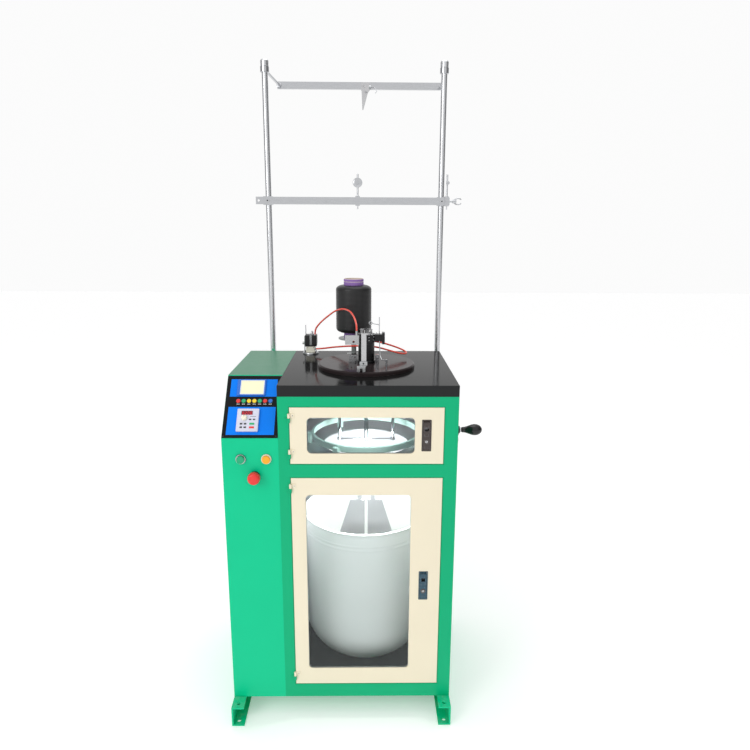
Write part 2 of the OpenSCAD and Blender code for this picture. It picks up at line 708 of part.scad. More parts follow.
module head_brackets() color("#8b8f94") {
  // angle that carries the hose fitting
  x0 = axis_x - 70;
  difference() {
    translate([x0, -cam_d / 2 - 3, cam_z - 6]) cube([46, 3, 31]);
    translate([x0 + 28, -cam_d / 2 - 4, cam_z + 3]) rotate([-90, 0, 0]) cylinder(r = 4, h = 6);
  }
  translate([x0 + 43, -cam_d / 2 - 3, cam_z - 8]) cube([3, 14, 8]);
  translate([x0 + 30, -cam_d / 2 - eps, cam_z + 22]) cube([16, 8, 3]);
  translate([x0 + 38, -cam_d / 2 + 3, cam_z + 25 - eps]) cylinder(r = 3.4, h = 14 + eps);
  translate([x0 + 12, -cam_d / 2 - eps, cam_z + 3]) rotate([-90, 0, 0]) cylinder(r = 3.4, h = 4);
  // two-hole angle behind the column
  difference() {
    translate([axis_x - 58, -8, disc_z]) cube([28, 3, 26]);
    for (x = [-50, -38]) translate([axis_x + x, -9, disc_z + 17]) rotate([-90, 0, 0])
      cylinder(r = 3, h = 6);
  }
  translate([axis_x - 58, -8, disc_z]) cube([17, 20, 3]);
  // foot block of the feeder post
  difference() {
    translate([axis_x - 29, -157, disc_z]) cube([26, 14, 20]);
    translate([axis_x - 20, -158, disc_z - 1]) cube([8, 16, 13]);
  }
  // clamp of the feeder post
  difference() {
    translate([axis_x - 21, -149, disc_z + 20]) cube([24, 14, 12]);
    translate([axis_x - 16 - seat, -142 - seat, disc_z + 19])
      cube([16 + 2 * seat, 4 + 2 * seat, 14]);
  }
}
module feeder_post() color("gainsboro") {
  translate([axis_x - 16, -142, disc_z + 14]) cube([16, 4, 106]);
  translate([axis_x - 8, -138 - eps, disc_z + 112]) rotate([-90, 0, 0]) cylinder(r = 2, h = 100);
}
module wire_guides() color("silver") {
  top = cam_z + cam_h;
  // upright with the pigtail eye
  translate([axis_x + 43, 4, top - eps]) cylinder(r = 1.6, h = 56);
  translate([axis_x + 43, 4, top + 30]) rotate([0, -78, 0]) cylinder(r = 1.4, h = 26);
  translate([axis_x + 14, 4, top + 36]) rotate([90, 0, 0]) rotate_extrude()
    translate([5, 0]) circle(r = 1.3, $fn = 16);
  // J-shaped guide down to the pin on the disc
  wire([[axis_x + 43, -12, cam_z + 3], [axis_x + 43, -24, cam_z + 3], [axis_x + 45, -52, cam_z - 40],
    [axis_x + 50, -64, cam_z - 50], [axis_x + 65, -76, cam_z - 50]], 1.5);
  translate([axis_x + 65, -76, disc_z]) cylinder(r = 3, h = 24);
  // short post beside the column
  translate([axis_x + 30, -24, disc_z]) cube([12, 12, 30]);
  translate([axis_x + 36, -26.5, disc_z]) cylinder(r = 2.5, h = 22);
}

// ---- air valve
module valve_unit() color("#e9e4d4") translate([valve_x, valve_y, table_z]) {
  cylinder(r = 29, h = 6);
  translate([-16, -16, 6 - eps]) cube([32, 32, 22]);
  translate([-20, -18, 28]) cube([44, 38, 42]);
  translate([6, 0, 70 - eps]) cylinder(r = 5, h = 9);
  translate([6, 0, 79 - eps]) sphere(r = 5);
  // hose fittings
  translate([18, -12.5, 66]) cylinder(r = 4, h = 7);
  translate([16 - eps, -12.5, 19]) rotate([0, 90, 0]) cylinder(r = 4, h = 4);
  // side plate and the marker rod
  difference() {
    translate([-23, -6, 6 - eps]) cube([3, 18, 58]);
    translate([-24, 3, 38]) rotate([0, 90, 0]) cylinder(r = 2 + run_fit, h = 5);
  }
  translate([-17, 0, 70 - eps]) cylinder(r = 1.8, h = 36);
}
module valve_screw() color("silver") translate([valve_x - 23, valve_y + 3, table_z + 38]) {
  rotate([0, -90, 0]) {
    translate([0, 0, -2.4]) cylinder(r = 2, h = 4);
    translate([0, 0, seat]) cylinder(r = 5, h = 7);
  }
}
module hose_arch() color("#e14b3c") hose(curve(arch_route, 3), hose_r, 10);
module hose_loop() color("#e14b3c") hose(curve(loop_route, 2), hose_r, 10);

// ---- drive and take-down
module cylinder_pulley() color("#9a9da2") translate([axis_x, 0, 0]) {
  // two belt tracks on one hub, gripped on the needle cylinder
  translate([0, 0, hand_pulley_z]) difference() {
    union() {
      cylinder(r = pulley_r, h = pulley_h, $fn = 96);
      cylinder(r = pulley_r - 12, h = pulley_z - hand_pulley_z + 1);
      translate([0, 0, pulley_z - hand_pulley_z]) cylinder(r = pulley_r, h = pulley_h, $fn = 96);
      translate([0, 0, pulley_z - hand_pulley_z]) cylinder(r = 32, h = pulley_h + 6);
    }
    translate([0, 0, -1]) cylinder(d = cyl_bore, h = 40);
    translate([0, 0, pulley_z - hand_pulley_z]) cylinder(d = cyl_d, h = 40);
  }
}
module takedown_frame() color("silver") translate([axis_x, 0, 0]) {
  top = hand_pulley_z;
  difference() {
    union() {
      // cross bar under the pulley, two rods with feet and the lower cross bar
      translate([-rod_span / 2 - 9, -10, top - 10]) cube([rod_span + 18, 20, 10]);
      for (x = [-rod_span / 2, rod_span / 2]) translate([x, 0, rod_bottom]) {
        cylinder(r = rod_r, h = top - rod_bottom - 5);
        cylinder(r = rod_r + 4, h = 8);
      }
      translate([-rod_span / 2, -3, rod_bottom + 2]) cube([rod_span, 6, 4]);
      // tube that leads the fabric down
      translate([0, 0, rod_bottom]) cylinder(r = tube_r, h = top - rod_bottom - 5);
    }
    translate([0, 0, rod_bottom - 1]) cylinder(r = tube_bore_r, h = top - rod_bottom + 2);
  }
}
module takedown_ring() color("#aee6dc") translate([axis_x, 0, 0]) {
  translate([0, 0, ring_z]) tube(ring_d / 2, ring_d / 2 - ring_t, ring_h, $fn = 128);
  for (a = [0, 120, 180, 240]) rotate(a) {
    translate([ring_d / 2 + eps, -9, shelf_z + shelf_t]) cube([14, 18, ring_z - shelf_z + 10]);
  }
}
module drive_motor() color("#3f5f7d") translate([motor_x, motor_y, 0]) {
  top = z_cab_top - 40;
  difference() {
    translate([-55, -55, top]) cube([110, 110, motor_plate_t]);
    translate([0, 0, top - 1]) cylinder(r = 10, h = motor_plate_t + 2);
  }
  for (x = [-47, 47], y = [-47, 47]) translate([x, y, top + motor_plate_t - eps])
    cylinder(r = 5, h = z_cab_top - top - motor_plate_t);
  translate([0, 0, top - motor_h]) difference() {
    cylinder(d = motor_d, h = motor_h);
    translate([0, 0, motor_h - 20]) cylinder(r = 7 + run_fit, h = 22);
  }
}
module motor_pulley() color("#9a9da2") translate([motor_x, motor_y, 0]) {
  shaft_z = z_cab_top - 40 - 19;
  translate([0, 0, shaft_z]) cylinder(r = 7, h = z_cab_top - 6 - shaft_z);
  translate([0, 0, z_cab_top - 26]) cylinder(r = small_r, h = pulley_h);
}

// Outline of a belt: an arc of radius ra at the origin and one of radius rb at distance d.
module belt_outline(d, ra, rb) {
  lean = asin((ra - rb) / d);
  polygon(concat([for (k = [0:24]) let (a = 90 - lean + k * (180 + 2 * lean) / 24)
      [ra * cos(a), ra * sin(a)]],
    [for (k = [0:16]) let (a = -90 + lean + k * (180 - 2 * lean) / 16)
      [d + rb * cos(a), rb * sin(a)]]));
}
module belt(q, z) {
  reach = [q[0] - axis_x, q[1]];
  translate([axis_x, 0, z]) rotate(atan2(reach[1], reach[0])) linear_extrude(belt_w) difference() {
    belt_outline(norm(reach), pulley_r + belt_gap + belt_t, small_r + belt_gap + belt_t);
    belt_outline(norm(reach), pulley_r + belt_gap, small_r + belt_gap);
  }
}
module drive_belts() color("#26272a") {
  belt([motor_x, motor_y], pulley_z + (pulley_h - belt_w) / 2);
  belt([hand_x, crank_y], hand_pulley_z + (pulley_h - belt_w) / 2);
}
// Bevel gear whose pitch cone ends at the origin; its back face lies at z = gear_r.
module bevel_gear(phase) {
  face_w = 7;
  step = 360 / gear_n;
  rotate(phase) translate([0, 0, gear_r]) mirror([0, 0, 1])
    linear_extrude(face_w, scale = (gear_r - face_w) / gear_r)
      polygon([for (i = [0:gear_n - 1], k = [[-0.26, -2.6], [-0.14, 0.6], [0.14, 0.6], [0.26, -2.6]])
        let (a = (i + k[0]) * step, r = gear_r + k[1]) [r * cos(a), r * sin(a)]]);
}
module bevel_gearbox() color("#6f757c") {
  half = 30;
  wall = 5;
  low = crank_z - gear_r - 10;
  // housing under the shelf
  difference() {
    translate([hand_x - half, crank_y - half, low]) cube([2 * half, 2 * half, shelf_z - low]);
    translate([hand_x - half + wall, crank_y - half + wall, low + wall])
      cube([2 * half - 2 * wall, 2 * half - 2 * wall, shelf_z - low - 2 * wall + 2]);
    translate([hand_x, crank_y, crank_z]) cylinder(r = crank_d / 2 + run_fit, h = 40);
    translate([hand_x, crank_y, crank_z]) rotate([0, 90, 0])
      cylinder(r = crank_d / 2 + run_fit, h = 40);
  }
  // flanged bush in the right side panel
  translate([x_right - sheet - 6, crank_y, crank_z]) rotate([0, 90, 0]) {
    tube(crank_d / 2 + 4 - eps, crank_d / 2 + run_fit, sheet + 14);
    translate([0, 0, sheet + 6]) tube(crank_d / 2 + 12, crank_d / 2 + 4 - eps, 5);
  }
  // bearing that hangs the upright shaft from the table
  translate([hand_x, crank_y, 0]) difference() {
    translate([-22, -22, z_cab_top - 26]) cube([44, 44, 26]);
    translate([0, 0, z_cab_top - 27]) cylinder(r = crank_d / 2 + run_fit, h = 22);
  }
}
module hand_shaft() color("#9a9da2") translate([hand_x, crank_y, 0]) {
  translate([0, 0, crank_z]) bevel_gear(0);
  translate([0, 0, crank_z + gear_r - 1])
    cylinder(d = crank_d, h = z_cab_top - 7 - crank_z - gear_r);
  translate([0, 0, hand_pulley_z]) cylinder(r = small_r, h = pulley_h);
}
module crank_arm() color("#2b2d31") {
  lift = atan2(knob_z - crank_z, knob_y - crank_y);
  translate([hand_x, crank_y, crank_z]) rotate([0, 90, 0]) {
    bevel_gear(180 / gear_n);
    translate([0, 0, gear_r - 1]) cylinder(d = crank_d, h = arm_x - hand_x - gear_r + 2);
  }
  // arm between two bosses, and the pin of the knob
  translate([arm_x, crank_y, crank_z]) rotate([lift, 0, 0]) rotate([90, 0, 90])
    linear_extrude(arm_t) {
      circle(r = 18);
      translate([crank_r, 0]) circle(r = 13);
      polygon([[0, -13], [0, 13], [crank_r, 10], [crank_r, -10]]);
    }
  translate([arm_x + arm_t - 1, knob_y, knob_z]) rotate([0, 90, 0]) cylinder(r = 4, h = 60);
  translate([arm_x + arm_t - 1, crank_y, crank_z]) rotate([0, 90, 0]) cylinder(r = 10, h = 7);
}
module crank_knob() color("#17181a") translate([knob_x + seat, knob_y, knob_z])
  rotate([0, 90, 0]) difference() {
    rotate_extrude() polygon(concat([[0, 0], [8, 0], [8, 7], [9.5, 8], [9.5, 18]],
      [for (a = [10:10:90]) [14.5 - 5 * cos(2 * a), 18 + 34 * a / 90]],
      [for (a = [10:10:90]) [19.5 * cos(a), 52 + 25 * sin(a)]]));
    translate([0, 0, -1]) cylinder(r = 4 + run_fit, h = 62);
  }
module chute_plates() color("#b9bcbd") {
  upright(chute_y, 3) for (side = [-1, 1])
{
      polygon([[axis_x + side * chute_gap, chute_top], [axis_x + side * 51, chute_top],
        [axis_x + side * 98, chute_bottom], [axis_x + side * chute_gap, chute_bottom]]);
      // the strap the plate hangs on
      translate([axis_x + side * 21 - chute_strap / 2, chute_top - 1])
        square([chute_strap, shelf_z - chute_top + 1]);
    }
  for (side = [-1, 1]) translate([axis_x + side * 21 - 15, chute_y, shelf_z - 3])
    cube([30, 26, 3]);
}
module fabric_barrel() color("#cdd0cb") translate([barrel_x, barrel_y, barrel_floor]) {
  r = barrel_d / 2;
  b = barrel_round;
  w = barrel_wall;
  f = barrel_foot_h;
  rotate_extrude($fn = 96) polygon(concat([[0, 0], [barrel_foot_r, 0], [barrel_foot_r, f]],
    [for (a = [-90:10:0]) [r - b + b * cos(a), f + b + b * sin(a)]],
    [[r, barrel_h - 8], [r + 4, barrel_h - 8], [r + 4, barrel_h], [r - w, barrel_h]],
    [for (a = [0:-10:-90]) [r - b + (b - w) * cos(a), f + b + (b - w) * sin(a)]],
    [[0, f + w]]));
}

base_beams();
cabinet_front();
cabinet_panels();
shelf_plate();
table_top();
electrical_box();
console_panel();
display_unit();
inverter();
inverter_knob();
button_collars();
start_button();
stop_button();
emergency_button();
upper_door();
upper_window();
upper_lock();
lower_door();
lower_window();
lower_lock();
creel_poles();
upper_bar();
top_guide();
feeler_arm();
lower_bar();
wing_screw();
tension_disc();
yarn_stand();
yarn_tube();
yarn_package();
bed_disc();
cylinder_housing();
needle_cylinder();
cam_box();
head_brackets();
wire_guides();
feeder_post();
valve_unit();
valve_screw();
hose_arch();
hose_loop();
cylinder_pulley();
takedown_frame();
takedown_ring();
drive_motor();
motor_pulley();
drive_belts();
bevel_gearbox();
hand_shaft();
crank_arm();
crank_knob();
chute_plates();
fabric_barrel();
panel_key(1);  // panel_key_1
panel_key(2);  // panel_key_2
panel_key(3);  // panel_key_3
panel_key(4);  // panel_key_4
panel_key(5);  // panel_key_5
panel_key(6);  // panel_key_6
panel_key(7);  // panel_key_7
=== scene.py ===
"""Circular knitting machine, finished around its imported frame."""

import math

import bmesh
import bpy
from bpy.props import FloatProperty, FloatVectorProperty, PointerProperty
from mathutils import Matrix, Vector


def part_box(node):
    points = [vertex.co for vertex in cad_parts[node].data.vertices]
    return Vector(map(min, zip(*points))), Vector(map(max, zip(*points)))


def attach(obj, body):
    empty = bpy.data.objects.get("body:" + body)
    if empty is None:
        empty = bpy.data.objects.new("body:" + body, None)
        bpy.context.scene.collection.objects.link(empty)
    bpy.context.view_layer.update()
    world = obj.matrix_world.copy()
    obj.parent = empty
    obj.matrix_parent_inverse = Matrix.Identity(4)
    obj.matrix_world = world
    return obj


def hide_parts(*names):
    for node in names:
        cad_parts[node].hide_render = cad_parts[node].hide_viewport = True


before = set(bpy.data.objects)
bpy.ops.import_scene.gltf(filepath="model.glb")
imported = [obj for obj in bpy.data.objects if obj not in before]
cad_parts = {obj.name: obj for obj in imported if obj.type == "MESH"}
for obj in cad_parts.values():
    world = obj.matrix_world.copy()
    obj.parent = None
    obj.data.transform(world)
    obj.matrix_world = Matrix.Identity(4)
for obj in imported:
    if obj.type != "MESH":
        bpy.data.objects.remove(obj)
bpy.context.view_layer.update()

bl_info = {
    "name": "Circular knitting machine",
    "version": (1, 0, 0),
    "blender": (4, 5, 0),
    "location": "View3D > Sidebar > Knitting machine",
    "description": "Builds the panels, console, knitting head, creel and yarn of the machine",
    "category": "Add Mesh",
}

MM = 0.001

# ---- places taken from the frame, in millimetres


def box_mm(node):
    """Lowest and highest corners of a CAD node, in millimetres."""
    low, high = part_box(node)
    return low / MM, high / MM


def middle(node):
    """Centre of a CAD node's box, in millimetres."""
    low, high = box_mm(node)
    return (low + high) / 2


KNUCKLE = 8.5  # how far the hinge knuckles stand out of the front frame
FRONT = box_mm("cabinet_front")[0].y + KNUCKLE
BOX_LEFT = box_mm("electrical_box")[0].x
TABLE_TOP = box_mm("table_top")[1].z
DISC_TOP = box_mm("bed_disc")[1].z
AXIS = Vector((middle("bed_disc").x, middle("bed_disc").y, 0))
PACK = Vector((middle("yarn_package").x, middle("yarn_package").y, 0))
BARREL = Vector((middle("fabric_barrel").x, middle("fabric_barrel").y, 0))

CONSOLE_LOW = 964
CONSOLE_SLOPE = math.radians(49.5)
CONSOLE_SKIN = 3

ARCH_ROUTE = [
    (-108, 212, 1200), (-107.7, 211.7, 1208), (-104, 208, 1222), (-93, 198, 1238), (-76, 184, 1256),
    (-55, 163, 1275), (-33, 138, 1293), (-12, 110, 1304), (8, 82, 1307), (24, 54, 1303),
    (35, 28, 1293), (42, 4, 1281), (46, -16, 1269), (47, -25.5, 1258), (47, -28, 1251),
]
LOOP_ROUTE = [
    (-106, 212, 1146), (-99, 212, 1146), (-84, 207, 1148), (-66, 196, 1152), (-44, 178, 1158),
    (-18, 152, 1165), (6, 128, 1171), (32, 106, 1176), (62, 86, 1180), (92, 70, 1182),
    (122, 56, 1180), (150, 47, 1174), (176, 45, 1167), (198, 50, 1161), (213, 63, 1158),
    (217, 80, 1159), (209, 97, 1163), (192, 108, 1169), (168, 112, 1177), (140, 108, 1186),
    (112, 96, 1194), (86, 78, 1199), (62, 58, 1202), (42, 36, 1205), (29, 14, 1209),
    (22, -8, 1213), (21, -20, 1215), (21, -27, 1215),
]


# ---- sizes and colours a user would change


def paint(name, text, colour):
    """A colour property, with red, green and blue as light values."""
    return FloatVectorProperty(
        name=name, description=text, default=colour, subtype="COLOR", size=3, min=0, max=1
    )


class KNIT_PG_colours(bpy.types.PropertyGroup):
    # cabinet and side_box_painted_lit are one powder coat in two shades: side_box_painted_lit is
    # the lit copy and cabinet the shaded copy, painted light and shade of the key lamp at the left.
    cabinet: paint("Cabinet", "Powder coat of the cabinet", (0.0, 0.42, 0.185))
    side_box_painted_lit: paint("Electrical box", "Powder coat of the electrical box", (0.0, 0.56, 0.27))
    door: paint("Doors", "Powder coat of the two doors", (0.84, 0.76, 0.58))
    panel: paint("Console print", "Printed fields of the console", (0.0, 0.20, 0.86))
    hose: paint("Air hose", "Polyurethane of the two air hoses", (0.80, 0.075, 0.045))
    yarn: paint("Yarn", "Yarn on the package", (0.013, 0.013, 0.014))
    tube: paint("Yarn tube", "Paper tube under the yarn", (0.25, 0.135, 0.40))


class KNIT_PG_sizes(bpy.types.PropertyGroup):
    hose_radius: FloatProperty(
        name="Hose radius", description="Outside radius of the air hoses", default=0.003,
        min=0.001, unit="LENGTH",
    )
    edge: FloatProperty(
        name="Edge rounding", description="Rounding of folded and machined edges",
        default=0.0008, min=0.0001, unit="LENGTH",
    )
    door_edge: FloatProperty(
        name="Door edge", description="Rounding of the doors' edges", default=0.0009,
        min=0.0001, unit="LENGTH",
    )
    camera_height: FloatProperty(
        name="Camera height", description="Height of the camera over the floor",
        default=1.5791, unit="LENGTH",
    )
    camera_back: FloatProperty(
        name="Camera distance", description="Distance of the camera in front of the middle",
        default=2.0924, unit="LENGTH",
    )
    camera_side: FloatProperty(
        name="Camera side step", description="Place of the camera across the front",
        default=0.0781, unit="LENGTH",
    )
    camera_pitch: FloatProperty(
        name="Camera pitch", description="How far the camera looks down",
        default=math.radians(12.99), subtype="ANGLE",
    )


def sizes():
    return bpy.context.scene.knit_sizes


def colours():
    return bpy.context.scene.knit_colours


# ---- node materials

EDGE_REACH = 0.0012  # how far rubbed paint reaches from a corner, in metres


class Value:
    """A node socket. Arithmetic on it adds Math nodes."""

    def __init__(self, finish, socket):
        self.finish = finish
        self.socket = socket

    def math(self, operation, *others, swap=False):
        terms = [self, *others]
        if swap:
            terms.reverse()
        return self.finish.node(
            "ShaderNodeMath", {"operation": operation}, dict(enumerate(terms))
        )

    def __add__(self, other):
        return self.math("ADD", other)

    __radd__ = __add__

    def __sub__(self, other):
        return self.math("SUBTRACT", other)

    def __rsub__(self, other):
        return self.math("SUBTRACT", other, swap=True)

    def __mul__(self, other):
        return self.math("MULTIPLY", other)

    __rmul__ = __mul__

    def __truediv__(self, other):
        return self.math("DIVIDE", other)

    def __gt__(self, other):
        return self.math("GREATER_THAN", other)

    def __lt__(self, other):
        return self.math("LESS_THAN", other)

    def __abs__(self):
        return self.math("ABSOLUTE")

    def sine(self):
        return self.math("SINE")

    def between(self, low, high):
        return (self > low) * (self < high)

    def ramp(self, low, high):
        """0 at low and under, 1 at high and over."""
        return self.finish.node(
            "ShaderNodeMapRange", {"clamp": True}, {0: self, 1: low, 2: high, 3: 0.0, 4: 1.0}
        )


class Finish:
    """A node material that is built one node at a time."""

    def __init__(self, name):
        self.material = bpy.data.materials.new(name)
        self.material.use_nodes = True
        self.tree = self.material.node_tree
        self.tree.nodes.clear()

    def add(self, kind, settings, inputs):
        node = self.tree.nodes.new(kind)
        for key, value in settings.items():
            setattr(node, key, value)
        for key, value in inputs.items():
            if isinstance(value, Value):
                self.tree.links.new(value.socket, node.inputs[key])
            elif isinstance(value, tuple) and len(value) == 3 and node.inputs[key].type == "RGBA":
                node.inputs[key].default_value = (*value, 1)
            else:
                node.inputs[key].default_value = value
        return node

    def node(self, kind, settings=None, inputs=None, out=0):
        return Value(self, self.add(kind, settings or {}, inputs or {}).outputs[out])

    def place(self):
        """Where a point is on the piece, in metres."""
        return self.node("ShaderNodeTexCoord", out=3)

    def axes(self, place=None):
        split = self.add("ShaderNodeSeparateXYZ", {}, {0: place or self.place()})
        return [Value(self, socket) for socket in split.outputs]

    def normal_axes(self):
        geometry = self.node("ShaderNodeNewGeometry", out=1)
        return self.axes(geometry)

    def stretched(self, factors):
        return self.node(
            "ShaderNodeVectorMath", {"operation": "MULTIPLY"}, {0: self.place(), 1: factors}
        )

    def noise(self, scale, detail=3.0, rough=0.5, place=None):
        return self.node(
            "ShaderNodeTexNoise", {},
            {"Vector": place or self.place(), "Scale": scale, "Detail": detail, "Roughness": rough},
        )

    def cells(self, scale):
        return self.node("ShaderNodeTexVoronoi", {}, {"Vector": self.place(), "Scale": scale})

    def mix(self, mask, first, second):
        return self.node(
            "ShaderNodeMix", {"data_type": "RGBA"}, {0: mask, 6: first, 7: second}, out=2
        )

    def bump(self, height, depth, strength=1.0):
        return self.node(
            "ShaderNodeBump", {}, {"Strength": strength, "Distance": depth, "Height": height}
        )

    def worn_edges(self):
        """1 on sharp corners, 0 on flat faces."""
        soft = self.node("ShaderNodeBevel", {"samples": 4}, {"Radius": EDGE_REACH})
        flat = self.node("ShaderNodeNewGeometry", out=1)
        dot = self.node("ShaderNodeVectorMath", {"operation": "DOT_PRODUCT"}, {0: soft, 1: flat}, 1)
        return (1 - dot).ramp(0.01, 0.16)

    def surface(self, **sockets):
        """The principled shader, with names such as base_color for its sockets."""
        inputs = {}
        for key, value in sockets.items():
            inputs[key.replace("_", " ").title().replace("Ior", "IOR")] = value
        return self.node("ShaderNodeBsdfPrincipled", {}, inputs)

    def done(self, shader):
        self.add("ShaderNodeOutputMaterial", {}, {0: shader})
        return self.material


def shade(colour, factor):
    return tuple(min(1.0, c * factor) for c in colour)


def coated(name, colour, rough, spread=0.06, smudge=0.12, peel=700, depth=0.00004,
           metal=0.0, coat=0.0, worn=None, dust=0.0, shine=0.5, top=None):
    """Paint or lacquer with cloudy shade, orange peel, smudges, rubbed corners and, if top is
    given, painted shade on faces turned up.
    """
    f = Finish(name)
    cloud = f.noise(5, 4, 0.55)
    tone = f.mix(cloud, shade(colour, 1 - spread), shade(colour, 1 + spread))
    smear = f.noise(28, 6, 0.7)
    # Faces turned up take the colour top: painted shade.
    if top:
        tone = f.mix(f.normal_axes()[2].ramp(0.6, 0.95), tone, top)
    if dust:
        up = f.normal_axes()[2]
        tone = f.mix(smear.ramp(0.45, 0.8) * up.ramp(0.3, 1.0) * dust, tone, (0.62, 0.60, 0.56))
    if worn:
        rub = f.worn_edges() * f.noise(160, 4, 0.6).ramp(0.46, 0.62)
        tone = f.mix(rub * worn[1], tone, worn[0])
    gloss = rough + (smear - 0.5) * smudge
    return f.done(f.surface(
        base_color=tone, roughness=gloss, metallic=metal, coat_weight=coat, coat_roughness=0.08,
        specular_ior_level=shine,
        normal=f.bump(f.noise(peel, 2, 0.5), depth),
    ))


def moulded(name, colour, rough=0.42, grain=1900, depth=0.00003, glow=0.0):
    """Moulded plastic with a fine spark-eroded grain."""
    f = Finish(name)
    patch = f.noise(14, 5, 0.6)
    tone = f.mix(patch, shade(colour, 0.90), shade(colour, 1.07))
    sockets = {}
    # glow, when given, makes the plastic shine by itself: painted light.
    if glow:
        sockets = {"emission_color": tone, "emission_strength": glow}
    return f.done(f.surface(
        base_color=tone, roughness=rough + (patch - 0.5) * 0.16,
        normal=f.bump(f.cells(grain), depth), **sockets,
    ))


def brushed(name, colour, rough=0.3, factors=(60, 60, 1400), depth=0.00002, stain=0.25):
    """Bright metal with drawn grain along one direction and faint stains."""
    f = Finish(name)
    grain = f.noise(1.0, 3, 0.6, f.stretched(factors))
    stains = f.noise(22, 6, 0.65)
    tone = f.mix(grain, shade(colour, 0.86), shade(colour, 1.08))
    tone = f.mix(stains.ramp(0.55, 0.85) * stain, tone, shade(colour, 0.62))
    return f.done(f.surface(
        base_color=tone, metallic=1.0,
        roughness=rough + (grain - 0.5) * 0.16 + (stains - 0.5) * 0.1,
        normal=f.bump(grain, depth),
    ))


def clear_sheet():
    """Clear acrylic: see-through, with a gloss that grows at a low angle and light smears."""
    f = Finish("clear_acrylic")
    smear = f.noise(11, 6, 0.7)
    gloss = f.surface(
        base_color=(0.86, 0.90, 0.90), roughness=0.03 + smear.ramp(0.4, 0.9) * 0.05,
        specular_ior_level=0.5, coat_weight=0.5, coat_roughness=0.03,
    )
    through = f.node("ShaderNodeBsdfTransparent", {}, {0: (0.95, 0.97, 0.97)})
    edge = f.node("ShaderNodeFresnel", {}, {"IOR": 1.45})
    amount = edge * 0.5 + smear.ramp(0.5, 1.0) * 0.012 + 0.004
    return f.done(f.node("ShaderNodeMixShader", {}, {0: amount, 1: through, 2: gloss}))


def wound_yarn(colour):
    """Cross-wound yarn: two crossing families of turns with a soft sheen."""
    f = Finish("wound_yarn")
    x, y, z = f.axes()
    turn = (y - PACK.y * MM).math("ARCTAN2", x - PACK.x * MM)
    rise = z * 5200
    one = (rise + turn * 9).sine()
    other = (rise - turn * 9).sine()
    band = (z * 330 + turn).sine()
    turns = one.math("MAXIMUM", other)
    fuzz = f.noise(2600, 3, 0.7)
    tone = f.mix(turns * 0.35 + fuzz * 0.35 + band * 0.08 + 0.2, shade(colour, 0.3),
                 shade(colour, 1.1))
    return f.done(f.surface(
        base_color=tone, roughness=0.32 + fuzz * 0.12, specular_ior_level=0.42,
        normal=f.bump(turns * 0.6 + fuzz * 0.4, 0.00008, 0.6),
    ))


def paper_tube(colour):
    """Spiral-wound paper tube, dyed outside and pale inside."""
    f = Finish("paper_tube")
    x, y, z = f.axes()
    dx, dy = x - PACK.x * MM, y - PACK.y * MM
    away = (dx * dx + dy * dy).math("SQRT")
    turn = dy.math("ARCTAN2", dx)
    seam = abs((z * 60 + turn * 0.5).sine()) < 0.03
    fibre = f.noise(900, 4, 0.6)
    dyed = f.mix(fibre, shade(colour, 0.85), shade(colour, 1.2))
    dyed = f.mix(seam * 0.5, dyed, shade(colour, 0.6))
    bare = f.mix(fibre, (0.62, 0.50, 0.42), (0.78, 0.68, 0.60))
    return f.done(f.surface(
        base_color=f.mix(away > 0.0345, bare, dyed), roughness=0.62 + fibre * 0.2,
        normal=f.bump(fibre, 0.0001, 0.6),
    ))


def console_print():
    """Printed overlay of the console: two blue fields in a black border."""
    f = Finish("console_print")
    x, y, z = f.axes()
    across = (x / MM) - BOX_LEFT
    back, rise = (y / MM) - FRONT, (z / MM) - CONSOLE_LOW
    up = back * math.cos(CONSOLE_SLOPE) + rise * math.sin(CONSOLE_SLOPE)
    lower = across.between(13, 157) * up.between(10, 102)
    upper = across.between(13, 157) * up.between(137, 197)
    blue = colours().panel[:]
    film = f.noise(420, 3, 0.6)
    cloud = f.noise(9, 4, 0.5)
    field = f.mix(cloud, shade(blue, 0.9), shade(blue, 1.1))
    tone = f.mix((lower + upper).math("MINIMUM", 1.0), (0.006, 0.007, 0.008), field)
    return f.done(f.surface(
        base_color=tone, roughness=0.32 + film * 0.14, specular_ior_level=0.14,
        normal=f.bump(film, 0.00003),
    ))


def cabinet_skin(name, colour):
    """Powder coat outside, pale primer inside and painted shade, near black, on the floor inside.
    """
    f = Finish(name)
    x, y, z = f.axes()
    nx, ny, nz = f.normal_axes()
    low, high = box_mm("cabinet_panels")
    cloud = f.noise(4, 4, 0.55)
    smear = f.noise(26, 6, 0.7)
    outside = f.mix(cloud, shade(colour, 0.94), shade(colour, 1.06))
    primer = f.mix(smear, (0.66, 0.67, 0.70), (0.76, 0.77, 0.80))
    # The floor inside is painted near black: painted shade in the bottom of the compartments.
    floor_painted_shade = f.mix(smear, (0.012, 0.013, 0.014), (0.03, 0.03, 0.032))
    inside_back = (y > (high.y - 3.6) * MM) * (ny < -0.5)
    inside_right = (x > (high.x - 3.6) * MM) * (nx < -0.5)
    inside_left = (nx > 0.5) * (x < (low.x + 3.6) * MM)
    inside = inside_back.math("MAXIMUM", inside_right).math("MAXIMUM", inside_left)
    # floor marks the faces turned up at the bottom inside, which take the painted shade.
    floor = (nz > 0.5) * (z < (low.z + 6) * MM)
    tone = f.mix(inside, outside, primer)
    tone = f.mix(floor, tone, floor_painted_shade)
    rub = f.worn_edges() * f.noise(150, 4, 0.6).ramp(0.5, 0.66)
    tone = f.mix(rub * 0.4, tone, shade(colour, 0.35))
    return f.done(f.surface(
        base_color=tone, roughness=0.36 + (smear - 0.5) * 0.12, specular_ior_level=0.2,
        normal=f.bump(f.noise(650, 2, 0.5), 0.00005),
    ))


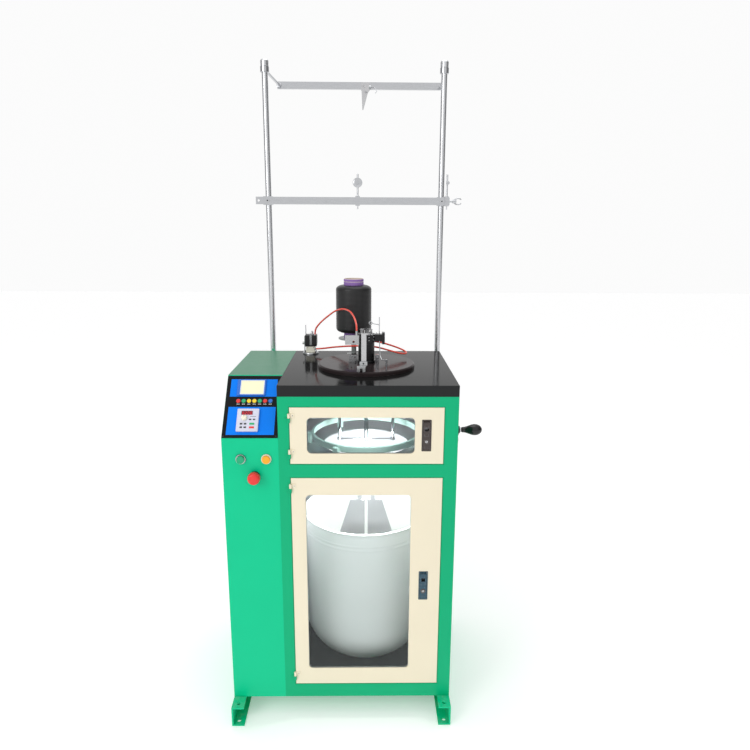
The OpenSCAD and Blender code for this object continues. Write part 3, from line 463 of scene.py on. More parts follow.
def lacquer_table():
    """Black lacquered slab: a mirror-like top with wiping streaks and a satin edge."""
    f = Finish("lacquer_table")
    up = f.normal_axes()[2].ramp(0.4, 0.9)
    streak = f.noise(3.0, 6, 0.7, f.stretched((2.2, 7.0, 5.0)))
    speck = f.cells(170).ramp(0.05, 0.02)
    smear = f.noise(34, 6, 0.7)
    tone = f.mix(smear, (0.007, 0.007, 0.007), (0.014, 0.014, 0.014))
    tone = f.mix(1 - up, tone, (0.026, 0.027, 0.028))
    tone = f.mix(speck * up * 0.25, tone, (0.4, 0.4, 0.38))
    rough = f.mix(up, (0.38, 0.38, 0.38), (0.09, 0.09, 0.09))
    gloss = f.axes(rough)[0] + streak.ramp(0.45, 0.8) * 0.14 + (smear - 0.5) * 0.05
    rub = f.worn_edges() * f.noise(170, 4, 0.6).ramp(0.42, 0.6)
    return f.done(f.surface(
        base_color=f.mix(rub * 0.5, tone, (0.20, 0.20, 0.20)), roughness=gloss,
        specular_ior_level=0.045,
        normal=f.bump(f.noise(380, 2, 0.5), 0.00003),
    ))


def glow(name, colour, strength):
    """A lit surface with a faint uneven glow."""
    f = Finish(name)
    lit = f.mix(f.noise(30, 2, 0.5), shade(colour, 0.93), colour)
    return f.done(f.surface(
        base_color=shade(colour, 0.05), roughness=0.25, emission_color=lit,
        emission_strength=strength,
    ))


FINISHES = {}


def make_finishes():
    """Every finish of the machine, by name."""
    c = colours()
    # light is the electrical box's green, the lighter copy of the cabinet green: painted light from
    # the left.
    green, light, cream = c.cabinet[:], c.side_box_painted_lit[:], c.door[:]
    FINISHES.update({
        "green": cabinet_skin("powder_green", green),
        "green_light": coated("powder_green_painted_lit", light, 0.36, 0.05, 0.12, 650, 0.00005,
                              worn=(shade(light, 0.35), 0.4), shine=0.2,
                              # darker green on the box's faces turned up: painted shade
                              top=(0.07, 0.235, 0.14)),
        # The beams take the same lighter copy of the green, painted light; their darker rubbed
        # corners and dust are wear and dirt.
        "green_beam": coated("painted_beam", light, 0.42, 0.09, 0.2, 420, 0.00009,
                             worn=((0.05, 0.10, 0.07), 0.9), dust=0.25, shine=0.2),
        "cream": coated("powder_cream", cream, 0.40, 0.035, 0.12, 650, 0.00005,
                        worn=(shade(cream, 0.5), 0.35)),
        "table": lacquer_table(),
        "black_steel": coated("black_oxide", (0.018, 0.018, 0.020), 0.26, 0.25, 0.2, 900,
                              0.00003, metal=0.6, worn=((0.30, 0.30, 0.30), 0.8)),
        "disc": coated("polished_black_disc", (0.026, 0.019, 0.020), 0.15, 0.2, 0.12, 240,
                       0.00002, worn=((0.42, 0.42, 0.42), 0.9), shine=0.07),
        "console": console_print(),
        "dark_plastic": moulded("black_plastic", (0.012, 0.012, 0.013), 0.34),
        "knob_black": moulded("polished_bakelite", (0.008, 0.008, 0.009), 0.16, 900, 0.00001),
        "grey_plastic": moulded("pale_plastic", (0.66, 0.66, 0.78), 0.45),
        "cream_plastic": moulded("cream_plastic", (0.86, 0.82, 0.66), 0.4),
        "charcoal": moulded("charcoal_plastic", (0.045, 0.045, 0.05), 0.5),
        "red": moulded("red_plastic", (0.78, 0.035, 0.03), 0.28),
        "green_key": moulded("green_plastic", (0.02, 0.42, 0.16), 0.28),
        "yellow": moulded("yellow_plastic", (0.95, 0.66, 0.03), 0.28),
        "blue": moulded("blue_plastic", (0.03, 0.16, 0.62), 0.28),
        # The faint glow of these two lens colours is painted light.
        "amber": moulded("amber_lens", (0.95, 0.36, 0.01), 0.22, glow=0.15),
        "green_lens": moulded("green_lens", (0.0, 0.36, 0.16), 0.22, glow=0.08),
        "label": moulded("white_print", (0.78, 0.79, 0.80), 0.5),
        "glass": clear_sheet(),
        "chrome": brushed("polished_chrome", (0.56, 0.57, 0.59), 0.12, (40, 40, 200), 0.000005,
                          0.1),
        "pole": brushed("drawn_pole", (0.66, 0.67, 0.69), 0.27, (900, 900, 25), 0.00001, 0.0),
        "steel": brushed("brushed_steel", (0.50, 0.51, 0.52), 0.25, (50, 50, 1400), 0.00002),
        "bright_steel": brushed("ground_steel", (0.58, 0.58, 0.59), 0.26, (900, 50, 50), 0.00001,
                                0.2),
        "sheet_steel": brushed("sheet_steel", (0.50, 0.50, 0.51), 0.40, (40, 40, 900), 0.00002),
        "zinc": brushed("zinc_screw", (0.62, 0.62, 0.60), 0.32, (300, 300, 300), 0.00002, 0.4),
        "brass": brushed("brass", (0.78, 0.57, 0.25), 0.25, (60, 60, 900)),
        "grey_paint": coated("grey_enamel", (0.30, 0.33, 0.32), 0.30, 0.07, 0.14, 600, 0.00005,
                             worn=((0.12, 0.12, 0.12), 0.7)),
        "pale_ring": coated("mint_paint", (0.66, 0.93, 0.86), 0.34, 0.05, 0.12, 600, 0.00005,
                            worn=((0.25, 0.3, 0.3), 0.6)),
        "barrel": coated("barrel_plastic", (0.80, 0.81, 0.79), 0.48, 0.06, 0.16, 260, 0.0002,
                         dust=0.15),
        "motor": coated("motor_enamel", (0.05, 0.12, 0.21), 0.34, 0.08, 0.16, 500, 0.00008,
                        worn=((0.02, 0.02, 0.02), 0.8)),
        "belt": moulded("belt_rubber", (0.018, 0.018, 0.018), 0.72, 700, 0.0001),
        # rubber: the gaskets under the button collars are real rubber; the black fill of screw
        # recesses and key slots is painted shade.
        "rubber_and_recess_shade": moulded("gasket_rubber", (0.014, 0.014, 0.014), 0.66, 900, 0.00008),
        "cream_block": coated("cast_block", (0.80, 0.78, 0.66), 0.38, 0.05, 0.12, 300, 0.0001),
        "lock": coated("lock_enamel", (0.050, 0.036, 0.032), 0.30, 0.12, 0.2, 420, 0.00006,
                       worn=((0.3, 0.3, 0.32), 0.7)),
        "lock_blue": coated("lock_enamel_blue", (0.035, 0.085, 0.12), 0.26, 0.15, 0.2, 420,
                            0.00006, metal=0.3, worn=((0.4, 0.45, 0.5), 0.8)),
        "yarn": wound_yarn(c.yarn[:]),
        "tube": paper_tube(c.tube[:]),
        "hose": coated("hose_polyurethane", c.hose[:], 0.26, 0.05, 0.1, 300, 0.00002, coat=0.3),
        "screen": glow("screen_glow", (1.0, 0.99, 0.68), 0.95),
        "digits": glow("red_digits", (1.0, 0.04, 0.06), 1.4),
        "window_red": moulded("dark_red_window", (0.10, 0.004, 0.010), 0.12, 900, 0.00001),
        "lamp": glow("lamp_cover", (0.93, 0.95, 1.0), 4.0),
    })


# ---- mesh building


def rounded(rect, grow):
    """Outline of a rectangle (x, y, width, height, corner radius), grown by a distance."""
    steps = 6
    x, y, w, h, r = rect
    x, y, w, h = x - grow, y - grow, w + 2 * grow, h + 2 * grow
    r = max(r + grow, 0.02)
    points = []
    for cx, cy, start in ((x + w - r, y + r, -90), (x + w - r, y + h - r, 0),
                          (x + r, y + h - r, 90), (x + r, y + r, 180)):
        for i in range(steps + 1):
            a = math.radians(start + 90 * i / steps)
            points.append((cx + r * math.cos(a), cy + r * math.sin(a)))
    return points


def smooth_route(route, per_span):
    """Points of a smooth curve through a route, in the same units."""
    points = []
    count = len(route)
    for i in range(count - 1):
        p0, p1, p2, p3 = (
            Vector(route[min(max(k, 0), count - 1)]) for k in (i - 1, i, i + 1, i + 2)
        )
        for step in range(per_span):
            t = step / per_span
            points.append(0.5 * (2 * p1 + (p2 - p0) * t + (2 * p0 - 5 * p1 + 4 * p2 - p3) * t * t
                                 + (3 * p1 - p0 - 3 * p2 + p3) * t ** 3))
    points.append(Vector(route[-1]))
    return points


FACING = {
    "up": Matrix.Identity(3),
    "down": Matrix.Rotation(math.pi, 3, "X"),
    "front": Matrix.Rotation(math.pi / 2, 3, "X"),
    "back": Matrix.Rotation(-math.pi / 2, 3, "X"),
    "right": Matrix.Rotation(math.pi / 2, 3, "Y"),
    "left": Matrix.Rotation(-math.pi / 2, 3, "Y"),
}


def at(x, y, z, facing="up"):
    """A place in millimetres, with its local up axis turned to a side."""
    return Matrix.Translation((x, y, z)) @ FACING[facing].to_4x4()


def on_console(x, s):
    """A place on the sloped console's skin: across and up the slope."""
    out = CONSOLE_SKIN
    cos, sin = math.cos(CONSOLE_SLOPE), math.sin(CONSOLE_SLOPE)
    return Matrix.Translation(
        (BOX_LEFT + x, FRONT + s * cos - out * sin, CONSOLE_LOW + s * sin + out * cos)
    ) @ Matrix.Rotation(CONSOLE_SLOPE, 4, "X")


class Shape:
    """A mesh of closed solids, built in millimetres."""

    def __init__(self, place=None):
        self.bm = bmesh.new()
        self.place = place or Matrix.Identity(4)
        self.finish_names = []

    def paint_index(self, finish):
        if finish not in self.finish_names:
            self.finish_names.append(finish)
        return self.finish_names.index(finish)

    def join(self, part, finish, place=None):
        bmesh.ops.recalc_face_normals(part, faces=part.faces)
        part.transform(self.place @ (place or Matrix.Identity(4)))
        index = self.paint_index(finish)
        for face in part.faces:
            face.material_index = index
            face.smooth = True
        for edge in part.edges:
            edge.smooth = len(edge.link_faces) != 2 or edge.calc_face_angle(0) < math.radians(38)
        mesh = bpy.data.meshes.new("part")
        part.to_mesh(mesh)
        part.free()
        self.bm.from_mesh(mesh)
        bpy.data.meshes.remove(mesh)

    def block(self, low, high, finish, edge=0.6, steps=2, place=None):
        """A box with rounded edges."""
        part = bmesh.new()
        bmesh.ops.create_cube(part, size=1)
        for v in part.verts:
            v.co = Vector([low[i] + (v.co[i] + 0.5) * (high[i] - low[i]) for i in range(3)])
        if edge:
            bmesh.ops.bevel(part, geom=part.edges[:], offset=edge, segments=steps, profile=0.5,
                            affect="EDGES", clamp_overlap=True)
        self.join(part, finish, place)

    def lathe(self, outline, finish, steps=48, place=None, ripple=None):
        """A turned solid. The outline gives (radius, height) pairs, closed on the axis if its
        radius is 0 at the ends, and closed on itself if not."""
        part = bmesh.new()
        rings = []
        for r, h in outline:
            if r <= 0:
                rings.append([part.verts.new((0, 0, h))])
                continue
            ring = []
            for i in range(steps):
                a = 2 * math.pi * i / steps
                rr = r + (ripple(a, h) if ripple else 0)
                ring.append(part.verts.new((rr * math.cos(a), rr * math.sin(a), h)))
            rings.append(ring)
        pairs = list(zip(rings, rings[1:]))
        if len(rings[0]) > 1 and len(rings[-1]) > 1:
            pairs.append((rings[-1], rings[0]))
        for low, high in pairs:
            for i in range(steps):
                j = (i + 1) % steps
                corners = [low[i % len(low)], low[j % len(low)], high[j % len(high)],
                           high[i % len(high)]]
                unique = list(dict.fromkeys(corners))
                if len(unique) > 2:
                    part.faces.new(unique)
        self.join(part, finish, place)

    def plate(self, outer, holes, low, high, finish, edge=0.5):
        """A flat plate in the local XY plane with rounded edges and openings."""
        part = bmesh.new()
        thick = high - low
        edge = min(edge, thick * 0.45)
        levels = [(low, edge), (low + edge * 0.3, edge * 0.3), (low + edge, 0),
                  (high - edge, 0), (high - edge * 0.3, edge * 0.3), (high, edge)]
        caps = ([], [])
        for rect, sign in [(outer, -1)] + [(hole, 1) for hole in holes]:
            rings = [[part.verts.new((x, y, z)) for x, y in rounded(rect, sign * inset)]
                     for z, inset in levels]
            for a, b in zip(rings, rings[1:]):
                for i in range(len(a)):
                    j = (i + 1) % len(a)
                    part.faces.new((a[i], a[j], b[j], b[i]))
            for cap, ring in zip(caps, (rings[0], rings[-1])):
                for i in range(len(ring)):
                    cap.append(part.edges.get((ring[i], ring[(i + 1) % len(ring)])))
        for cap in caps:
            bmesh.ops.triangle_fill(part, use_beauty=True, use_dissolve=False, edges=cap)
        self.join(part, finish)

    def sweep(self, points, radius, finish, sides=12):
        """A round rod or wire along points."""
        part = bmesh.new()
        points = [Vector(p) for p in points]
        count = len(points)
        normal = None
        rings = []
        for i, p in enumerate(points):
            ahead, behind = points[min(i + 1, count - 1)], points[max(i - 1, 0)]
            along = (ahead - behind).normalized()
            if normal is None:
                normal = along.orthogonal().normalized()
            normal = (normal - along * normal.dot(along)).normalized()
            cross = along.cross(normal)
            r = radius(i / (count - 1)) if callable(radius) else radius
            rings.append([part.verts.new(p + r * (normal * math.cos(a) + cross * math.sin(a)))
                          for a in (2 * math.pi * k / sides for k in range(sides))])
        for a, b in zip(rings, rings[1:]):
            for i in range(sides):
                j = (i + 1) % sides
                part.faces.new((a[i], a[j], b[j], b[i]))
        part.faces.new(rings[0])
        part.faces.new(rings[-1])
        self.join(part, finish)

    def cap_screw(self, place, size, finish="zinc"):
        """A socket-head screw whose head stands on the place."""
        r, h, key = size * 0.85, size, size * 0.42
        self.lathe([(0, h * 0.45), (key, h * 0.45), (key * 1.05, h - 0.1), (key * 1.2, h),
                    (r - 0.3, h), (r, h - 0.4), (r, -0.05), (0, -0.05)], finish, 20, place)

    def pan_screw(self, place, size, finish="zinc"):
        """A low domed screw head with a cross recess, shown as black bars of painted shade."""
        r, h = size, size * 0.45
        dome = [(r * math.cos(a), h * math.sin(a)) for a in
                (math.radians(d) for d in (0, 20, 40, 60, 75))]
        self.lathe([(0, -0.05), (r, -0.05)] + dome + [(0, h)], finish, 20, place)
        # the cross recess is two black bars: painted shade
        for turn in (0, math.pi / 2):
            self.block((-r * 0.55, -r * 0.1, h * 0.82), (r * 0.55, r * 0.1, h * 1.02),
                       "rubber_and_recess_shade", 0, place=place @ Matrix.Rotation(turn, 4, "Z"))

    def nut(self, place, size, height, finish="zinc", bore=0.0):
        """A hexagon nut or screw head with chamfered corners."""
        outer = size / math.cos(math.pi / 6)
        c = size * 0.12
        outline = [(outer - c, 0), (outer, c * 0.6), (outer, height - c * 0.6),
                   (outer - c, height)]
        if bore:
            outline = outline + [(bore, height), (bore, 0)]
        else:
            outline = [(0, 0)] + outline + [(0, height)]
        self.lathe(outline, finish, 6, place)

    def build(self, name, body, replaces=()):
        """Makes the piece, with even shading on its large faces."""
        self.bm.transform(Matrix.Scale(MM, 4))
        mesh = bpy.data.meshes.new(name)
        self.bm.to_mesh(mesh)
        self.bm.free()
        for finish in self.finish_names:
            mesh.materials.append(FINISHES[finish])
        piece = bpy.data.objects.new(name, mesh)
        bpy.context.scene.collection.objects.link(piece)
        even = piece.modifiers.new("even_shading", "WEIGHTED_NORMAL")
        even.keep_sharp = True
        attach(piece, body)
        if replaces:
            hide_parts(*replaces)
        return piece


# ---- pieces carried over from the frame, with their finish and edge rounding

CARRIED = {
    "green": ["cabinet_front", "cabinet_panels"],
    "green_light": ["electrical_box"],
    "green_beam": ["base_beams"],
    "table": ["table_top"],
    "disc": ["bed_disc"],
    "black_steel": ["cylinder_housing", "cam_box", "crank_arm"],
    "console": ["console_panel"],
    "pole": ["creel_poles"],
    "chrome": ["upper_bar", "lower_bar", "feeler_arm", "wire_guides", "takedown_frame"],
    "bright_steel": ["top_guide", "feeder_post", "needle_cylinder"],
    "steel": ["head_brackets", "cylinder_pulley", "motor_pulley", "hand_shaft"],
    "sheet_steel": ["shelf_plate", "chute_plates"],
    "grey_paint": ["yarn_stand", "bevel_gearbox"],
    "pale_ring": ["takedown_ring"],
    "belt": ["drive_belts"],
    "motor": ["drive_motor"],
}
FINE_EDGES = {"needle_cylinder": 0.0001, "wire_guides": 0.0002, "feeler_arm": 0.0002,
              "console_panel": 0.0003, "drive_belts": 0.0003, "bevel_gearbox": 0.0004,
              "crank_arm": 0.0006, "hand_shaft": 0.0004, "head_brackets": 0.0004,
              "feeder_post": 0.0004, "top_guide": 0.0003}


def carry_over(node, finish):
    """Keeps a CAD node and gives it its finish, rounded edges and even shading."""
    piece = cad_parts[node]
    for slot in piece.material_slots:
        slot.material = FINISHES[finish]
    if "custom_normal" in piece.data.attributes:
        piece.data.attributes.remove(piece.data.attributes["custom_normal"])
    piece.data.polygons.foreach_set("use_smooth", [True] * len(piece.data.polygons))
    weld = piece.modifiers.new("weld", "WELD")
    weld.merge_threshold = 0.00001
    flat = piece.modifiers.new("flat_faces", "DECIMATE")
    flat.decimate_type = "DISSOLVE"
    flat.angle_limit = math.radians(0.5)
    rounding = piece.modifiers.new("rounded_edges", "BEVEL")
    rounding.width = FINE_EDGES.get(node, sizes().edge)
    rounding.segments = 2
    rounding.limit_method = "ANGLE"
    rounding.angle_limit = math.radians(32)
    rounding.use_clamp_overlap = True
    even = piece.modifiers.new("even_shading", "WEIGHTED_NORMAL")
    even.keep_sharp = False


class KNIT_OT_frame(bpy.types.Operator):
    """Gives the carried-over frame pieces their finishes and rounded edges"""

    bl_idname = "knit.frame"
    bl_label = "Frame"

    def execute(self, context):
        make_finishes()
        for finish, nodes in CARRIED.items():
            for node in nodes:
                carry_over(node, finish)
        return {"FINISHED"}


class KNIT_OT_hoses(bpy.types.Operator):
    """Makes the two air hoses between the valve and the knitting head"""

    bl_idname = "knit.hoses"
    bl_label = "Air hoses"

    def execute(self, context):
        radius = sizes().hose_radius
        for name, route, spans in (("hose_arch", ARCH_ROUTE, 3), ("hose_loop", LOOP_ROUTE, 2)):
            points = [p * MM for p in smooth_route(smooth_route(route, spans), 4)]
            curve = bpy.data.curves.new(name + "_line", "CURVE")
            curve.dimensions = "3D"
            curve.bevel_depth = radius
            curve.bevel_resolution = 5
            curve.use_fill_caps = True
            spline = curve.splines.new("POLY")
            spline.points.add(len(points) - 1)
            for point, co in zip(spline.points, points):
                point.co = (*co, 1)
            spline.use_smooth = True
            curve.materials.append(FINISHES["hose"])
            hose = bpy.data.objects.new(name + "_line", curve)
            bpy.context.scene.collection.objects.link(hose)
            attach(hose, "frame")
            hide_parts(name)
            length = sum((b - a).length for a, b in zip(points, points[1:]))
        return {"FINISHED"}


DOORS = {
    "upper": {"low": 883, "high": 1060, "window": (51, 33, 324, 112, 14), "lock": 41,
              "finish": "lock"},
    "lower": {"low": 117, "high": 837, "window": (44, 58, 323, 606, 12), "lock": 308,
              "finish": "lock_blue"},
}
DOOR_LEFT, DOOR_WIDTH, DOOR_THICK = -150, 462, 2.5
HINGE_X, HINGE_Y, HINGE_H = -151.25, FRONT - 4.5, 14
LOCK_X, LOCK_W, LOCK_H = DOOR_LEFT + 396, 28, 98


def front_plane(y):
    """The front's plane: local X is across, local Y is up and local Z comes out of it."""
    return Matrix.Translation((0, y, 0)) @ FACING["front"].to_4x4()


class KNIT_OT_doors(bpy.types.Operator):
    """Makes the two doors with their windows, clamping strips, hinges and lock cases"""

    bl_idname = "knit.doors"
    bl_label = "Doors"

    def execute(self, context):
        edge = sizes().door_edge / MM
        for name, door in DOORS.items():
            low, high = door["low"], door["high"]
            wx, wz, ww, wh, wr = door["window"]
            opening = (DOOR_LEFT + wx, low + wz, ww, wh, wr)
            lock = (LOCK_X + 2, low + door["lock"] + 2, LOCK_W - 4, LOCK_H - 4, 1)
            panel = Shape(front_plane(FRONT + DOOR_THICK))
            panel.plate((DOOR_LEFT, low, DOOR_WIDTH, high - low, 1.0), [opening, lock], 0,
                        DOOR_THICK, "cream", edge)
            # clamping strip behind the pane, with its screws
            strip = (opening[0] - 12, opening[1] - 12, ww + 24, wh + 24, wr + 4)
            inner = (opening[0] + 1, opening[1] + 1, ww - 2, wh - 2, wr)
            panel.plate(strip, [inner], -4.6, -3.4, "sheet_steel", 0.3)
            along = max(2, round(ww / 110))
            down = max(1, round(wh / 110))
            spots = [(opening[0] + ww * i / along, opening[1] + side) for i in range(along + 1)
                     for side in (-9.5, wh + 9.5)]
            spots += [(opening[0] + side, opening[1] + wh * (i + 0.5) / down) for i in range(down)
                      for side in (-9.5, ww + 9.5)]
            for x, z in spots:
                panel.pan_screw(at(x, z, -4.6, "down"), 2.2)
            # lock case
            lx, lz = LOCK_X, low + door["lock"]
            for a, b in (((lx - 2, lz - 2), (lx + 1, lz + LOCK_H + 2)),
                         ((lx + LOCK_W - 1, lz - 2), (lx + LOCK_W + 2, lz + LOCK_H + 2)),
                         ((lx + 1, lz - 2), (lx + LOCK_W - 1, lz + 1)),
                         ((lx + 1, lz + LOCK_H - 1), (lx + LOCK_W - 1, lz + LOCK_H + 2))):
                panel.block((a[0], a[1], -14.9), (b[0], b[1], 0.1), "sheet_steel", 0.3)
            panel.block((lx + 0.5, lz + 0.5, -14.9), (lx + LOCK_W - 0.5, lz + LOCK_H - 0.5, -12.9),
                        "sheet_steel", 0.3)
            panel.lathe([(0, 0), (1.9, 0), (1.9, LOCK_W - 2), (0, LOCK_W - 2)], "zinc", 16,
                        at(lx + 1, lz + LOCK_H - 9, -4, "right"))
            panel.place = Matrix.Identity(4)
            for z in (low + 18, high - 18 - 2 * HINGE_H):
                panel.lathe([(2.3, 0.4), (3.5, 0.4), (4, 0.9), (4, 13.5), (3.5, 14), (0, 14),
                             (0, 12), (2.3, 12)], "cream", 24,
                            at(HINGE_X, HINGE_Y, z + HINGE_H))
                panel.block((HINGE_X, FRONT - 1.6, z + HINGE_H + 0.6),
                            (HINGE_X + 16, FRONT + 0.1, z + 2 * HINGE_H), "cream", 0.4)
                panel.pan_screw(at(HINGE_X + 11, FRONT - 1.6, z + 1.5 * HINGE_H, "front"), 2.0)
            panel.build(name + "_door_panel", name + "_door", [name + "_door"])

            pane = Shape(front_plane(FRONT + DOOR_THICK + 0.3))
            pane.plate((opening[0] - 8, opening[1] - 8, ww + 16, wh + 16, wr), [], -3, 0, "glass",
                       0.25)
            pane.build(name + "_window_pane", name + "_door", [name + "_window"])
        return {"FINISHED"}


class KNIT_OT_locks(bpy.types.Operator):
    """Makes the swing-handle locks of the doors"""

    bl_idname = "knit.locks"
    bl_label = "Door locks"

    def execute(self, context):
        for name, door in DOORS.items():
            z = door["low"] + door["lock"]
            bezel = Shape(front_plane(FRONT))
            bezel.plate((LOCK_X - 0.5, z - 0.5, LOCK_W + 1, LOCK_H + 1, 2),
                        [(LOCK_X + 2.3, z + 2.3, LOCK_W - 4.6, LOCK_H - 4.6, 1.2)], -0.1, 1.1,
                        door["finish"], 0.4)
            bezel.build(name + "_lock_bezel", name + "_door")

            lever = Shape(front_plane(FRONT))
            lever.plate((LOCK_X + 3, z + 3, LOCK_W - 6, LOCK_H - 12, 1.6),
                        [(LOCK_X + 8.2, z + 62, 11.6, 12, 2.4)], -2.5, 1.5, door["finish"], 0.9)
            # rim of the thumb grip and raised ribs
            lever.plate((LOCK_X + 6.5, z + 46, LOCK_W - 13, 34, 4),
                        [(LOCK_X + 8, z + 47.5, LOCK_W - 16, 31, 3)], 1.2, 2.2, door["finish"], 0.3)
            for k in range(3):
                rib = z + 8 + 3.2 * k
                lever.block((LOCK_X + 8, rib, 1.3), (LOCK_X + LOCK_W - 8, rib + 1.4, 2.1),
                            door["finish"], 0.3)
            lever.block((LOCK_X + 4, z + LOCK_H - 16, -6),
                        (LOCK_X + LOCK_W - 4, z + LOCK_H - 8, -2.2), door["finish"], 0.5)
            lever.lathe([(2.2, 0), (4.5, 0), (4.5, LOCK_W - 8), (2.2, LOCK_W - 8)], door["finish"],
                        24, at(LOCK_X + 4, z + LOCK_H - 9, -6.5, "right"))
            # key cylinder with its slot, the slot drawn as a black bar of painted shade
            cylinder = at(LOCK_X + LOCK_W / 2, z + 30, 0)
            lever.lathe([(0, -9.8), (9, -9.8), (9, -2.6), (8.2, -2.4), (8.2, 1.6), (7.8, 2.2),
                         (6.6, 2.6), (6.2, 2.3), (3.8, 2.3)], "lock", 32, cylinder)
            lever.lathe([(0, 2.0), (3.9, 2.0), (3.9, 2.5), (3.6, 2.7), (0, 2.7)], "bright_steel",
                        32, cylinder)
            lever.block((-0.7, -3.2, 2.55), (0.7, 3.2, 2.85), "rubber_and_recess_shade", 0,
                        place=cylinder @ Matrix.Rotation(math.radians(25), 4, "Z"))
            lever.build(name + "_lock_lever", name + "_lock", [name + "_lock"])
        return {"FINISHED"}


PUSH_BUTTONS = {
    "start": ((-299, 899), "green_lens", "chrome"),
    "stop": ((-222, 899), "amber", "cream_plastic"),
}
EMERGENCY = (-258, 845)


class KNIT_OT_buttons(bpy.types.Operator):
    """Makes the start, stop and emergency buttons with their collars"""

    bl_idname = "knit.buttons"
    bl_label = "Buttons"

    def execute(self, context):
        collars = Shape()
        for name, ((x, z), lens, ring) in PUSH_BUTTONS.items():
            here = at(x, FRONT, z, "front")
            collars.lathe([(8.5, 1.0), (12.5, 1.0), (12.5, 4.6), (12.9, 5.0), (14.6, 5.0),
                           (15.3, 4.3), (15.5, 3.2), (15.5, 0.8), (15.0, -0.05), (10.6, -0.05),
                           (10.6, -26), (8.5, -26)], ring, 48, here)
            collars.lathe([(11.3, 0), (15.9, 0), (15.9, 0.5), (11.3, 0.5)], "rubber_and_recess_shade", 48, here)
            cap = Shape(here)
            cap.lathe([(0, -11.8), (8.4, -11.8), (8.4, 6.1), (11.6, 6.1), (12, 6.6), (12, 10.6),
                       (11.5, 11.6), (10.2, 12.0), (9.9, 11.6), (8, 11.4), (4, 11.3), (0, 11.3)],
                      lens, 48)
            cap.build(name + "_cap", name + "_button", [name + "_button"])
        here = at(EMERGENCY[0], FRONT, EMERGENCY[1], "front")
        collars.lathe([(8.5, 8), (13.6, 8), (14.6, 7.4), (15, 6.4), (15, 1.6), (15, -0.05),
                       (10.6, -0.05), (10.6, -26), (8.5, -26)], "dark_plastic", 48, here)
        for i in range(24):
            spin = Matrix.Rotation(2 * math.pi * i / 24, 4, "Z")
            collars.block((14.4, -0.7, 1.2), (15.4, 0.7, 6.6), "dark_plastic", 0.3,
                          place=here @ spin)
        collars.build("button_rings", "frame", ["button_collars"])

        top = FRONT - box_mm("emergency_button")[0].y
        head = Shape(here)
        head.lathe([(0, top - 40), (8.2, top - 40), (8.2, 12.6), (11, 13.6), (15, 14.2),
                    (18, 15.6), (19, 18), (19, top - 13), (18.6, top - 8), (17.2, top - 4.2),
                    (15, top - 2.0), (12, top - 0.8), (7, top - 0.15), (0, top)], "red", 64)
        # three raised turning arrows
        for i in range(3):
            start = 2 * math.pi * i / 3
            arc = [(11 * math.cos(start + t), 11 * math.sin(start + t), top - 0.65)
                   for t in (k * 0.14 for k in range(9))]
            head.sweep(arc, 0.5, "red", 6)
            tip = start + 8 * 0.14
            for side in (-2.4, 2.4):
                r0, r1 = 11 + side, 11
                head.sweep([(r0 * math.cos(tip - 0.22), r0 * math.sin(tip - 0.22), top - 0.75),
                            (r1 * math.cos(tip), r1 * math.sin(tip), top - 0.6)], 0.5, "red", 6)
        head.build("emergency_head", "emergency_button", ["emergency_button"])
        return {"FINISHED"}


KEY_FIRST, KEY_STEP, KEY_ROW = 41, 16.4, 122
KEY_FINISH = ("red", "green_key", "yellow", "yellow", "green_key", "red", "blue")
SEGMENTS = {"a": (0, 4.2, True), "g": (0, 0, True), "d": (0, -4.2, True), "b": (2.2, 2.1, False),
            "c": (2.2, -2.1, False), "e": (-2.2, -2.1, False), "f": (-2.2, 2.1, False)}
DIGITS = ("abcdef", "abged", "abcdef", "abcdef")
SCREEN, CONTROLLER, SPEED_KNOB = (34, 139), (43, 19), (66, 61)


